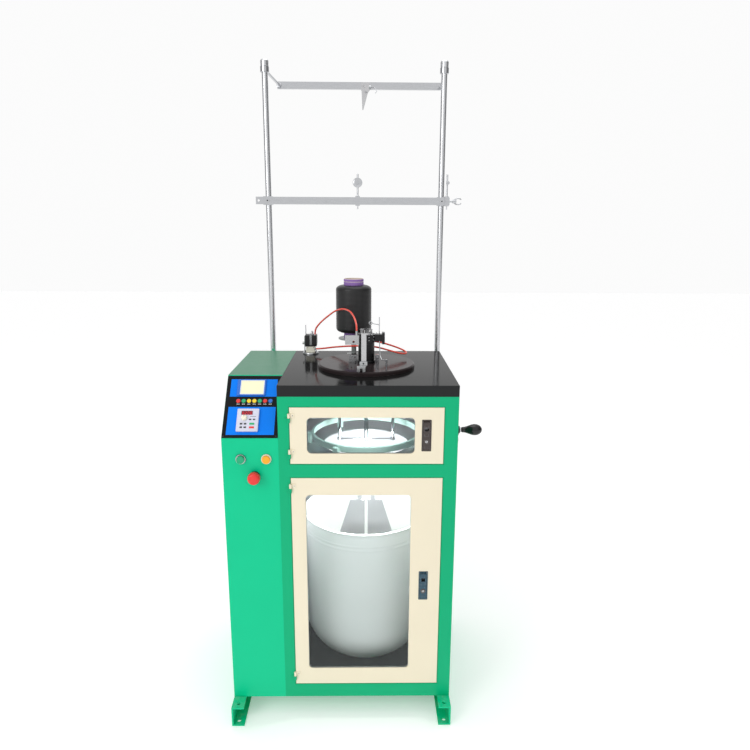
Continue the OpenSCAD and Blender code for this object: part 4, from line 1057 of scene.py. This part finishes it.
class KNIT_OT_console(bpy.types.Operator):
    """Makes the console's screen, keys, speed controller and printed marks"""

    bl_idname = "knit.console"
    bl_label = "Console"

    def execute(self, context):
        # screen in its frame
        screen = Shape(on_console(*SCREEN))
        screen.plate((0, 0, 88, 56, 2.5), [(11.5, 5, 71, 46, 1.2)], 0, 5, "blue", 0.7)
        screen.plate((10.2, 3.8, 73.6, 48.4, 1.4), [(13, 6, 68, 44, 1.0)], 3.6, 5.2, "label", 0.4)
        screen.plate((6, 4.6, 76, 46.8, 1), [], 0.2, 3.9, "screen", 0.1)
        screen.build("console_screen", "frame", ["display_unit"])

        marks = Shape()
        for i, finish in enumerate(KEY_FINISH):
            base = on_console(KEY_FIRST + KEY_STEP * i, KEY_ROW)
            key = Shape(base)
            key.lathe([(0, -4.3), (7.5, -4.3), (7.5, -3.35), (6.5, -3.35), (6.5, 1.3), (6.3, 1.8),
                       (5.8, 2.2), (5.2, 2.25), (4.7, 1.95), (0, 1.85)], finish, 40)
            key.build(f"key_cap_{i + 1}", f"panel_key_{i + 1}", [f"panel_key_{i + 1}"])
            # plain printed dashes under each key, and a rim round it
            marks.lathe([(6.9, -0.02), (7.6, -0.02), (7.6, 0.12), (6.9, 0.12)], "charcoal", 40,
                        base)
            marks.block((-4.6, -11.4, -0.02), (-0.6, -9.4, 0.08), "label", 0, place=base)
            marks.block((0.4, -11.4, -0.02), (4.4, -9.4, 0.08), "label", 0, place=base)
        for x, s in ((6, 6), (164, 6), (6, 208), (164, 208)):
            marks.pan_screw(on_console(x, s), 2.4, "dark_plastic")
        marks.build("console_marks", "frame")

        # speed controller
        unit = Shape(on_console(*CONTROLLER))
        unit.plate((0, 0, 66, 74, 3), [(12.5, 52.5, 35, 14, 1.5), (19.7, 38.7, 6.6, 6.6, 3.29)],
                   0, 9, "grey_plastic", 1.6)
        unit.block((12, 52, 0.2), (48, 67, 7.2), "window_red", 0.3)
        unit.plate((11.6, 51.6, 36.8, 15.8, 2), [(12.9, 52.9, 34.2, 13.2, 1.4)], 8.8, 9.5,
                   "grey_plastic", 0.3)
        for k, lit in enumerate(DIGITS):
            for name in lit:
                dx, dy, flat = SEGMENTS[name]
                cx, cy = 18 + 8.0 * k + dx, 59.5 + dy
                w, h = (1.7, 0.45) if flat else (0.45, 1.7)
                unit.block((cx - w, cy - h, 7.1), (cx + w, cy + h, 7.4), "digits", 0)
        unit.plate((3.2, 3.2, 59.6, 67.6, 2.5), [(4, 4, 58, 66, 2)], 8.9, 9.25, "grey_plastic", 0.1)
        for x, y, w, h, finish in (
            (41, 37.6, 7, 4.2, "charcoal"), (52.7, 37.6, 7, 4.2, "charcoal"),
            (15, 23.4, 7.6, 5, "charcoal"), (27, 23.4, 7.6, 5, "charcoal"),
            (15, 12, 7.6, 5, "charcoal"), (27, 12, 7.6, 5, "charcoal"),
            (47, 23.4, 15, 6, "green_key"), (47, 11.6, 15, 6, "red"),
        ):
            unit.block((x - w / 2, y - h / 2, 8.7), (x + w / 2, y + h / 2, 10.2), finish, 0.7, 3)
        unit.block((40, 46.5, 8.9), (58, 47.7, 9.15), "charcoal", 0)
        unit.build("speed_controller", "frame", ["inverter"])

        knob = Shape(on_console(*SPEED_KNOB))
        flutes = [0.35 * math.cos(18 * 2 * math.pi * k / 72) for k in range(72)]
        knob.lathe([(0, 3.3), (3, 3.3), (3, 9.3), (8.4, 9.3), (8.6, 9.8), (8.1, 15.6),
                    (7.4, 17.4), (6.4, 18.2), (0, 18.3)], "cream_plastic", 72,
                   ripple=lambda a, h: flutes[round(a * 36 / math.pi) % 72] if 9.5 < h < 17 else 0)
        knob.block((-0.7, 2, 17.9), (0.7, 7.0, 18.6), "charcoal", 0.2)
        knob.build("speed_knob", "inverter_knob", ["inverter_knob"])
        return {"FINISHED"}


class KNIT_OT_yarn(bpy.types.Operator):
    """Makes the yarn package on its paper tube"""

    bl_idname = "knit.yarn"
    bl_label = "Yarn package"

    def execute(self, context):
        low, high = box_mm("yarn_package")
        r, h = (high.x - low.x) / 2, high.z - low.z
        cone, inner, bore = 15, 37, 35.3
        quarter = [math.radians(d) for d in (15, 30, 45, 60, 75, 90)]
        outline = [(bore, 0.4), (inner, 0)]
        outline += [(inner + (r - inner) * math.sin(t), cone * (1 - math.cos(t)))
                    for t in quarter]
        outline += [(r, cone + (h - 2 * cone) * k / 40) for k in range(1, 41)]
        outline += [(inner + (r - inner) * math.cos(t), h - cone * (1 - math.sin(t)))
                    for t in quarter]
        outline += [(bore, h - 0.4)]

        def turns(a, z):
            if z < 2 or z > h - 2:
                return 0
            return -0.35 + 0.3 * max(math.sin(z * 0.75 + a * 3), math.sin(z * 0.75 - a * 3))

        package = Shape(at(PACK.x, PACK.y, low.z))
        package.lathe(outline, "yarn", 120, ripple=turns)
        package.build("wound_package", "package", ["yarn_package"])

        low, high = box_mm("yarn_tube")
        h = high.z - low.z
        tube = Shape(at(PACK.x, PACK.y, low.z))
        tube.lathe([(31, 0.3), (31.4, 0), (34.4, 0), (35, 0.8), (35, h - 12), (34.5, h - 11),
                    (34.5, h - 9.5), (35, h - 8.5), (35, h - 2), (34, h - 0.4), (33, h),
                    (31.6, h - 0.3), (31, h - 1.5)], "tube", 96)
        tube.build("paper_tube", "package", ["yarn_tube"])
        return {"FINISHED"}


class KNIT_OT_head(bpy.types.Operator):
    """Adds the screws and rings of the knitting head"""

    bl_idname = "knit.head"
    bl_label = "Knitting head"

    def execute(self, context):
        x = AXIS.x
        bits = Shape()
        cam_low, cam_high = 1212, 1236
        # knurled cam rings and dial screws round the cam box
        for i in range(36):
            a = math.radians(70 + 260 * i / 35)
            spin = Matrix.Translation((x, 0, 0)) @ Matrix.Rotation(a, 4, "Z")
            bits.block((30.6, -0.9, cam_low + 3), (31.6, 0.9, cam_low + 8), "black_steel", 0.3,
                       place=spin)
        for i in range(8):
            a = math.radians(45 * i + 22)
            place = at(x + 26 * math.cos(a), 26 * math.sin(a), cam_high)
            bits.cap_screw(place, 2.6, "steel")
        for dx, dy in ((18, -22), (-14, -24), (34, -6), (34, 8)):
            bits.lathe([(0, -0.1), (2.6, -0.1), (2.6, 3.2), (2.2, 3.6), (0, 3.6)], "bright_steel",
                       24, at(x + dx, dy, cam_high))
        for z in (cam_low + 7, cam_low + 17):
            for angle in (250, 285, 318):
                a = math.radians(angle)
                spin = Matrix.Translation((x, 0, z)) @ Matrix.Rotation(a, 4, "Z")
                bits.cap_screw(spin @ at(31, 0, 0, "right"), 2.2, "steel")
        # clamp collar on the column and screws of the disc
        bits.lathe([(27.05, 0), (29.4, 0), (29.8, 0.5), (29.8, 7.5), (29.4, 8), (27.05, 8)],
                   "black_steel", 64, at(x, 0, DISC_TOP))
        for i in range(6):
            a = math.radians(60 * i + 30)
            bits.cap_screw(at(x + 42 * math.cos(a), 42 * math.sin(a), DISC_TOP), 3.0, "black_steel")
        bits.build("head_screws", "frame")

        # ring on top of the needle cylinder
        crown = Shape(at(x, 0, 0))
        crown.lathe([(20.1, 1236.4), (23.0, 1236.4), (23.4, 1236.9), (23.4, 1238.6),
                     (23.0, 1239.0), (20.1, 1239.0)], "bright_steel", 72)
        crown.build("cylinder_ring", "rotor")

        # screws that hold the feeder post
        clamp = Shape()
        clamp.cap_screw(at(70, -149, 1167, "front"), 3.2, "black_steel")
        clamp.cap_screw(at(63, -157, 1149, "front"), 3.4, "black_steel")
        clamp.build("feeder_screws", "frame")
        return {"FINISHED"}


VALVE = (-126, 224.5)


class KNIT_OT_valve(bpy.types.Operator):
    """Makes the air valve with its coil, fittings and marker rod"""

    bl_idname = "knit.valve"
    bl_label = "Air valve"

    def execute(self, context):
        x, y, z = *VALVE, TABLE_TOP
        valve = Shape(at(x, y, z))
        valve.lathe([(0, 0), (29, 0), (29, 4), (27.8, 5.6), (26, 6), (0, 6)], "steel", 64)
        valve.block((-16, -16, 5.9), (16, 16, 28), "cream_block", 1.6, 3)
        valve.block((-19, -17, 27.9), (23, 19, 32), "dark_plastic", 0.8)
        valve.block((-20, -18, 31.8), (24, 20, 70), "dark_plastic", 3.2, 4)
        valve.block((-2, -18.4, 33), (6, -17.6, 69), "steel", 0.3)
        valve.block((-2, 19.6, 33), (6, 20, 69), "steel", 0.3)
        valve.block((-2, -18.3, 69.7), (6, 20, 70.4), "steel", 0.3)
        valve.lathe([(0, 69.8), (5, 69.8), (5, 77), (4.6, 79), (3.8, 81.6), (2.2, 83.4), (0, 84)],
                    "chrome", 32, at(6, 0, 0))
        valve.nut(at(6, 0, 70.2), 6.2, 3.4, "steel", 4.9)
        # push-in fittings of the hoses
        for place in (at(18, -12.5, 66), at(15.9, -12.5, 19, "right")):
            end = 7 if place[2][3] > 60 else 4
            valve.lathe([(3.1, end), (4.4, end), (4.9, end - 0.7), (4.9, end - 2), (4.2, end - 2.3),
                         (4.2, 0), (3.1, 0)], "steel", 32, place)
        valve.block((-23, -6, 5.9), (-20, 12, 64), "steel", 0.5)
        valve.lathe([(0, 69.9), (1.8, 69.9), (1.8, 104.8), (1.2, 105.8), (0, 106)], "chrome", 16,
                    at(-17, 0, 0))
        for a in (35, 145, 215, 325):
            t = math.radians(a)
            valve.cap_screw(at(23.5 * math.cos(t), 23.5 * math.sin(t), 6), 2.4, "black_steel")
        for dx in (-12, 12):
            valve.cap_screw(at(dx, -16, 24, "front"), 1.8, "steel")
        valve.build("air_valve", "frame", ["valve_unit"])

        screw = Shape(at(x - 23, y + 3, z + 38, "left"))
        screw.lathe([(0, -2.3), (1.9, -2.3), (1.9, 0.4), (4.4, 0.4), (5, 1.0), (5, 6.2), (4.4, 7.1),
                     (0, 7.2)], "zinc", 40,
                    ripple=lambda a, h: 0.18 * math.cos(20 * a) if 0.6 < h < 6.8 else 0)
        # The slot of the thumb screw is a black bar: painted shade of a recess.
        screw.block((-0.5, -4, 6.9), (0.5, 4, 7.3), "rubber_and_recess_shade", 0)
        screw.build("valve_thumb_screw", "valve_screw", ["valve_screw"])
        return {"FINISHED"}


POLE_X = (-275, 349)
POLE_CLAMP_Z = (959, 1089)
LOW_BAR_Z = 1673
SIDE_STEM_X = 366


class KNIT_OT_creel(bpy.types.Operator):
    """Makes the tension discs, springs, wing screw and small screws of the creel"""

    bl_idname = "knit.creel"
    bl_label = "Creel"

    def execute(self, context):
        low, high = box_mm("tension_disc")
        x, z = (low.x + high.x) / 2, (low.z + high.z) / 2
        discs = Shape(at(x, high.y, z, "front"))
        for base, turned in ((0.1, 1), (3.5, -1)):
            dish = [(2.75, 1.3 - 0.5 * turned), (9, 1.3 - 0.5 * turned), (13, 1.3),
                    (16.2, 1.3 + 0.9 * turned), (17, 1.3 + 1.1 * turned),
                    (17, 1.3 + 0.6 * turned), (13.2, 0.8), (9, 0.8 - 0.5 * turned),
                    (2.75, 0.8 - 0.5 * turned)]
            discs.lathe([(r, base + max(0.0, min(h, 2.5))) for r, h in dish], "chrome", 64)
        discs.build("tension_plates", "tension_disc", ["tension_disc"])

        # springs on the stems of both tension units
        springs = Shape()
        wire_r, start, end, per_turn, steps = 4.0, high.y - 8.2, high.y - 14.5, 12, 60
        for stem in (x, SIDE_STEM_X):
            coil = []
            for k in range(steps + 1):
                a = 2 * math.pi * k / per_turn
                coil.append((stem + wire_r * math.cos(a), start + (end - start) * k / steps,
                             z + wire_r * math.sin(a)))
            springs.sweep(coil, 0.4, "steel", 8)
        springs.build("tension_springs", "frame")

        low, high = box_mm("wing_screw")
        y, z = (low.y + high.y) / 2, (low.z + high.z) / 2
        wing = Shape(at(low.x, y, z, "right"))
        wing.lathe([(0, 0), (3.9, 0), (3.9, 10), (7, 10), (7.2, 11), (7.2, 20), (6, 24), (0, 24.4)],
                   "chrome", 32)
        for side in (-1, 1):
            ear = [(side * 4, 0, 15), (side * 7.5, 0, 19), (side * 10, 0, 26), (side * 10.4, 0, 33),
                   (side * 8.6, 0, 39), (side * 6, 0, high.x - low.x - 2.4)]
            wing.sweep(smooth_route(ear, 4), lambda t: 2.0 + 0.35 * math.sin(math.pi * t),
                       "chrome", 12)
        wing.build("wing_handle", "wing_screw", ["wing_screw"])

        # screws of the bars, collars and clamps
        small = Shape()
        for px in POLE_X:
            small.cap_screw(at(px, 270, LOW_BAR_Z, "front"), 3.0, "black_steel")
            for z in POLE_CLAMP_Z:
                for y in (288, 315):
                    small.cap_screw(at(px + 17.5, y, z, "right"), 3.2, "black_steel")
            small.cap_screw(at(px - 16.5, 290, LOW_BAR_Z + 2, "left"), 3.0, "black_steel")
            small.cap_screw(at(px, 318, 2112, "back"), 2.2, "black_steel")
        small.build("creel_screws", "frame")
        return {"FINISHED"}


CRANK_END = (406.4, 100, 834)  # outer end of the crank shaft


class KNIT_OT_crank(bpy.types.Operator):
    """Makes the turned knob of the hand crank"""

    bl_idname = "knit.crank"
    bl_label = "Crank knob"

    def execute(self, context):
        low, high = box_mm("crank_knob")
        y, z = (low.y + high.y) / 2, (low.z + high.z) / 2
        length = high.x - low.x
        knob = Shape(at(low.x, y, z, "right"))
        neck = [(4.3, 0.2), (7.6, 0.2), (8, 0.6), (8, 6.4), (7.6, 7.0), (8.2, 7.6), (9.3, 8.4)]
        swell = [(9.5 + 10 * (0.5 - 0.5 * math.cos(math.pi * t)), 10 + 42 * t)
                 for t in (k / 18 for k in range(19))]
        crown = [(19.5 * math.cos(a), 52 + (length - 52) * math.sin(a))
                 for a in (math.radians(d) for d in range(6, 90, 7))]
        knob.lathe(neck + swell + crown + [(0, length), (0, 62), (4.3, 61)], "knob_black", 64)
        knob.lathe([(4.4, 0.15), (8.7, 0.15), (8.9, 0.5), (8.9, 3.4), (8.6, 3.8), (4.4, 3.8)],
                   "chrome", 48)
        knob.build("crank_knob_turned", "knob", ["crank_knob"])

        arm = Shape()
        arm.nut(at(*CRANK_END, "right"), 8, 5.5, "zinc")
        arm.build("crank_nut", "crank")
        return {"FINISHED"}


class KNIT_OT_barrel(bpy.types.Operator):
    """Makes the fabric barrel with its rolled rim, and the lamps of both compartments"""

    bl_idname = "knit.barrel"
    bl_label = "Barrel and lamp"

    def execute(self, context):
        low, high = box_mm("fabric_barrel")
        top = high.z - low.z
        lip, b, w, foot, foot_r = 4, 150, 4, 18, 60
        r = (high.x - low.x) / 2 - lip
        barrel = Shape(at(BARREL.x, BARREL.y, low.z))
        outside = [(0, 0), (foot_r, 0), (foot_r, foot)]
        outside += [(r - b + b * math.cos(a), foot + b + b * math.sin(a)) for a in
                    (math.radians(d) for d in range(-90, 1, 6))]
        hoops = []
        for z in (top - 60, top - 46):
            hoops += [(r, z - 5), (r + 1.0, z - 2.6), (r + 1.3, z), (r + 1.0, z + 2.6), (r, z + 5)]
        rim = [(r, top - 9), (r + 2.6, top - 8.2), (r + 4, top - 5.6), (r + 3.6, top - 1.8),
               (r + 1.2, top), (r - 2.4, top), (r - w, top - 2)]
        inside = [(r - b + (b - w) * math.cos(a), foot + b + (b - w) * math.sin(a)) for a in
                  (math.radians(d) for d in range(0, -91, -6))] + [(0, foot + w)]
        barrel.lathe(outside + hoops + rim + inside, "barrel", 128)
        barrel.build("fabric_tub", "frame", ["fabric_barrel"])

        lamp = Shape()
        lamp.block((-120, 236, 836), (300, 262, 856), "cream_plastic", 2)
        lamp.block((-112, 232, 832), (292, 258, 838), "lamp", 2.5, 4)
        # strip light behind the front frame, over the take-down ring
        lamp.block((-140, -262, 1084), (300, -250, 1092.8), "cream_plastic", 1.5)
        lamp.block((-136, -259, 1081.5), (296, -249, 1086), "lamp", 1.8, 4)
        lamp.build("inside_lamp", "frame")
        return {"FINISHED"}


class KNIT_OT_cabinet(bpy.types.Operator):
    """Adds the panel screws and louvres of the cabinet"""

    bl_idname = "knit.cabinet"
    bl_label = "Cabinet details"

    def execute(self, context):
        low, high = box_mm("cabinet_panels")
        box_low, box_high = box_mm("electrical_box")
        bits = Shape()
        back = max(high.y, box_high.y)
        for x in [low.x + 14 + i * (high.x - low.x - 28) / 4 for i in range(5)]:
            for z in (low.z + 14, high.z - 14):
                bits.pan_screw(at(x, back, z, "back"), 3.2)
        for z in [low.z + 14 + i * (high.z - low.z - 28) / 6 for i in range(1, 6)]:
            for x in (low.x + 14, high.x - 14):
                bits.pan_screw(at(x, back, z, "back"), 3.2)
        # removable cover of the electrical box
        for z in (box_low.z + 20, box_low.z + 330, box_low.z + 640, box_low.z + 850):
            for y in (-240, 240):
                bits.pan_screw(at(box_low.x, y, z, "left"), 3.2)
        # pressed louvres of the electrical box and the back
        quarter_turn = Matrix.Rotation(math.pi / 2, 4, "Z")
        for k in range(7):
            z = 180 + 16 * k
            for y in (-66, 66):
                bits.block((-45, -2.2, 0), (45, 2.2, 2.2), "green_light", 1.4, 3,
                           place=at(box_low.x, y, z, "left") @ quarter_turn)
            bits.block((-60, -2.2, 0), (60, 2.2, 2.2), "green", 1.4, 3,
                       place=at(60, back, z, "back"))
        bits.build("panel_fixings", "frame")
        return {"FINISHED"}


def light_studio(tree):
    """White surroundings with darker sides, so that bright metal has something to mirror."""
    tree.nodes.clear()

    def add(kind, inputs, **settings):
        node = tree.nodes.new(kind)
        for key, value in settings.items():
            setattr(node, key, value)
        for key, value in inputs.items():
            if isinstance(value, bpy.types.NodeSocket):
                tree.links.new(value, node.inputs[key])
            else:
                node.inputs[key].default_value = value
        return node

    towards = add("ShaderNodeTexCoord", {}).outputs["Generated"]
    across = add("ShaderNodeSeparateXYZ", {0: towards}).outputs[0]
    right = add("ShaderNodeMapRange", {0: across, 1: 0.5, 2: 0.9, 3: 0.0, 4: 0.68}).outputs[0]
    left = add("ShaderNodeMapRange", {0: across, 1: -0.55, 2: -0.95, 3: 0.0, 4: 0.5}).outputs[0]
    dim = add("ShaderNodeMath", {0: right, 1: left}, operation="ADD").outputs[0]
    strength = add("ShaderNodeMath", {0: 0.92, 1: dim}, operation="SUBTRACT").outputs[0]
    lit = add("ShaderNodeBackground", {0: (1, 1, 1, 1), 1: strength}).outputs[0]
    backdrop = add("ShaderNodeBackground", {0: (1, 1, 1, 1), 1: 0.97}).outputs[0]
    seen = add("ShaderNodeLightPath", {}).outputs["Is Camera Ray"]
    both = add("ShaderNodeMixShader", {0: seen, 1: lit, 2: backdrop}).outputs[0]
    add("ShaderNodeOutputWorld", {0: both})


FOCAL_LENGTH = 30.606
CAMERA_TURN = math.radians(-0.825)
CAMERA_ROLL = math.radians(0.275)


class KNIT_OT_stage(bpy.types.Operator):
    """Sets the camera, the pale floor and the studio light"""

    bl_idname = "knit.stage"
    bl_label = "Stage"

    def execute(self, context):
        scene = context.scene
        s = sizes()
        lens = bpy.data.cameras.new("camera")
        lens.sensor_width = 36
        lens.lens = FOCAL_LENGTH
        lens.clip_end = 60
        camera = bpy.data.objects.new("camera", lens)
        camera.matrix_world = (
            Matrix.Translation((s.camera_side, -s.camera_back, s.camera_height))
            @ Matrix.Rotation(CAMERA_TURN, 4, "Z")
            @ Matrix.Rotation(math.pi / 2 - s.camera_pitch, 4, "X")
            @ Matrix.Rotation(CAMERA_ROLL, 4, "Z")
        )
        scene.collection.objects.link(camera)
        scene.camera = camera

        f = Finish("pale_floor")
        grain = f.noise(40, 5, 0.6)
        tone = f.mix(grain, (0.93, 0.93, 0.93), (0.96, 0.96, 0.96))
        floor_paint = f.done(f.surface(base_color=tone, roughness=0.85, emission_color=tone,
                                       emission_strength=0.24, specular_ior_level=0.1,
                                       normal=f.bump(grain, 0.0004, 0.3)))
        bm = bmesh.new()
        bmesh.ops.create_grid(bm, x_segments=8, y_segments=8, size=14)
        mesh = bpy.data.meshes.new("floor")
        bm.to_mesh(mesh)
        bm.free()
        mesh.materials.append(floor_paint)
        floor = bpy.data.objects.new("floor", mesh)
        floor.location.z = -0.0005
        scene.collection.objects.link(floor)

        world = bpy.data.worlds.new("studio")
        scene.world = world
        world.use_nodes = True
        light_studio(world.node_tree)
        for name, place, aim, size, watts in (
            ("key", (-2.0, -2.4, 2.3), (0.0, 0.0, 0.8), 1.5, 26),
            ("top", (0.2, 0.3, 3.4), (0.0, 0.0, 1.0), 1.6, 12),
            ("upper_inside", (0.079, -0.215, 1.060), (0.08, 0.26, 0.92), 0.05, 0.7),
            ("lower_inside", (0.077, -0.205, 0.825), (0.08, 0.20, 0.40), 0.05, 3.6),
        ):
            light = bpy.data.lights.new(name, "AREA")
            light.size = size
            light.energy = watts
            lamp = bpy.data.objects.new(name, light)
            lamp.location = place
            aim_line = Vector(aim) - Vector(place)
            lamp.rotation_euler = aim_line.to_track_quat("-Z", "Y").to_euler()
            scene.collection.objects.link(lamp)
        scene.view_settings.view_transform = "Standard"
        return {"FINISHED"}


class KNIT_PT_panel(bpy.types.Panel):
    """Lists the pieces of the machine and their sizes and colours"""

    bl_idname = "KNIT_PT_panel"
    bl_label = "Knitting machine"
    bl_space_type = "VIEW_3D"
    bl_region_type = "UI"
    bl_category = "Knitting machine"

    def draw(self, context):
        for group in (context.scene.knit_sizes, context.scene.knit_colours):
            for name in group.bl_rna.properties.keys():
                if name not in {"rna_type", "name"}:
                    self.layout.prop(group, name)
        for step in STEPS:
            self.layout.operator(step.bl_idname)


STEPS = [
    KNIT_OT_stage, KNIT_OT_frame, KNIT_OT_hoses, KNIT_OT_doors, KNIT_OT_locks, KNIT_OT_buttons,
    KNIT_OT_console, KNIT_OT_yarn, KNIT_OT_head, KNIT_OT_valve, KNIT_OT_creel, KNIT_OT_crank,
    KNIT_OT_barrel, KNIT_OT_cabinet,
]
CLASSES = [KNIT_PG_colours, KNIT_PG_sizes, *STEPS, KNIT_PT_panel]


def register():
    for item in CLASSES:
        bpy.utils.register_class(item)
    bpy.types.Scene.knit_sizes = PointerProperty(type=KNIT_PG_sizes)
    bpy.types.Scene.knit_colours = PointerProperty(type=KNIT_PG_colours)


def unregister():
    del bpy.types.Scene.knit_colours
    del bpy.types.Scene.knit_sizes
    for item in reversed(CLASSES):
        bpy.utils.unregister_class(item)


def main():
    register()
    for step in STEPS:
        group, name = step.bl_idname.split(".")
        getattr(getattr(bpy.ops, group), name)()


if __name__ == "__main__":
    main()
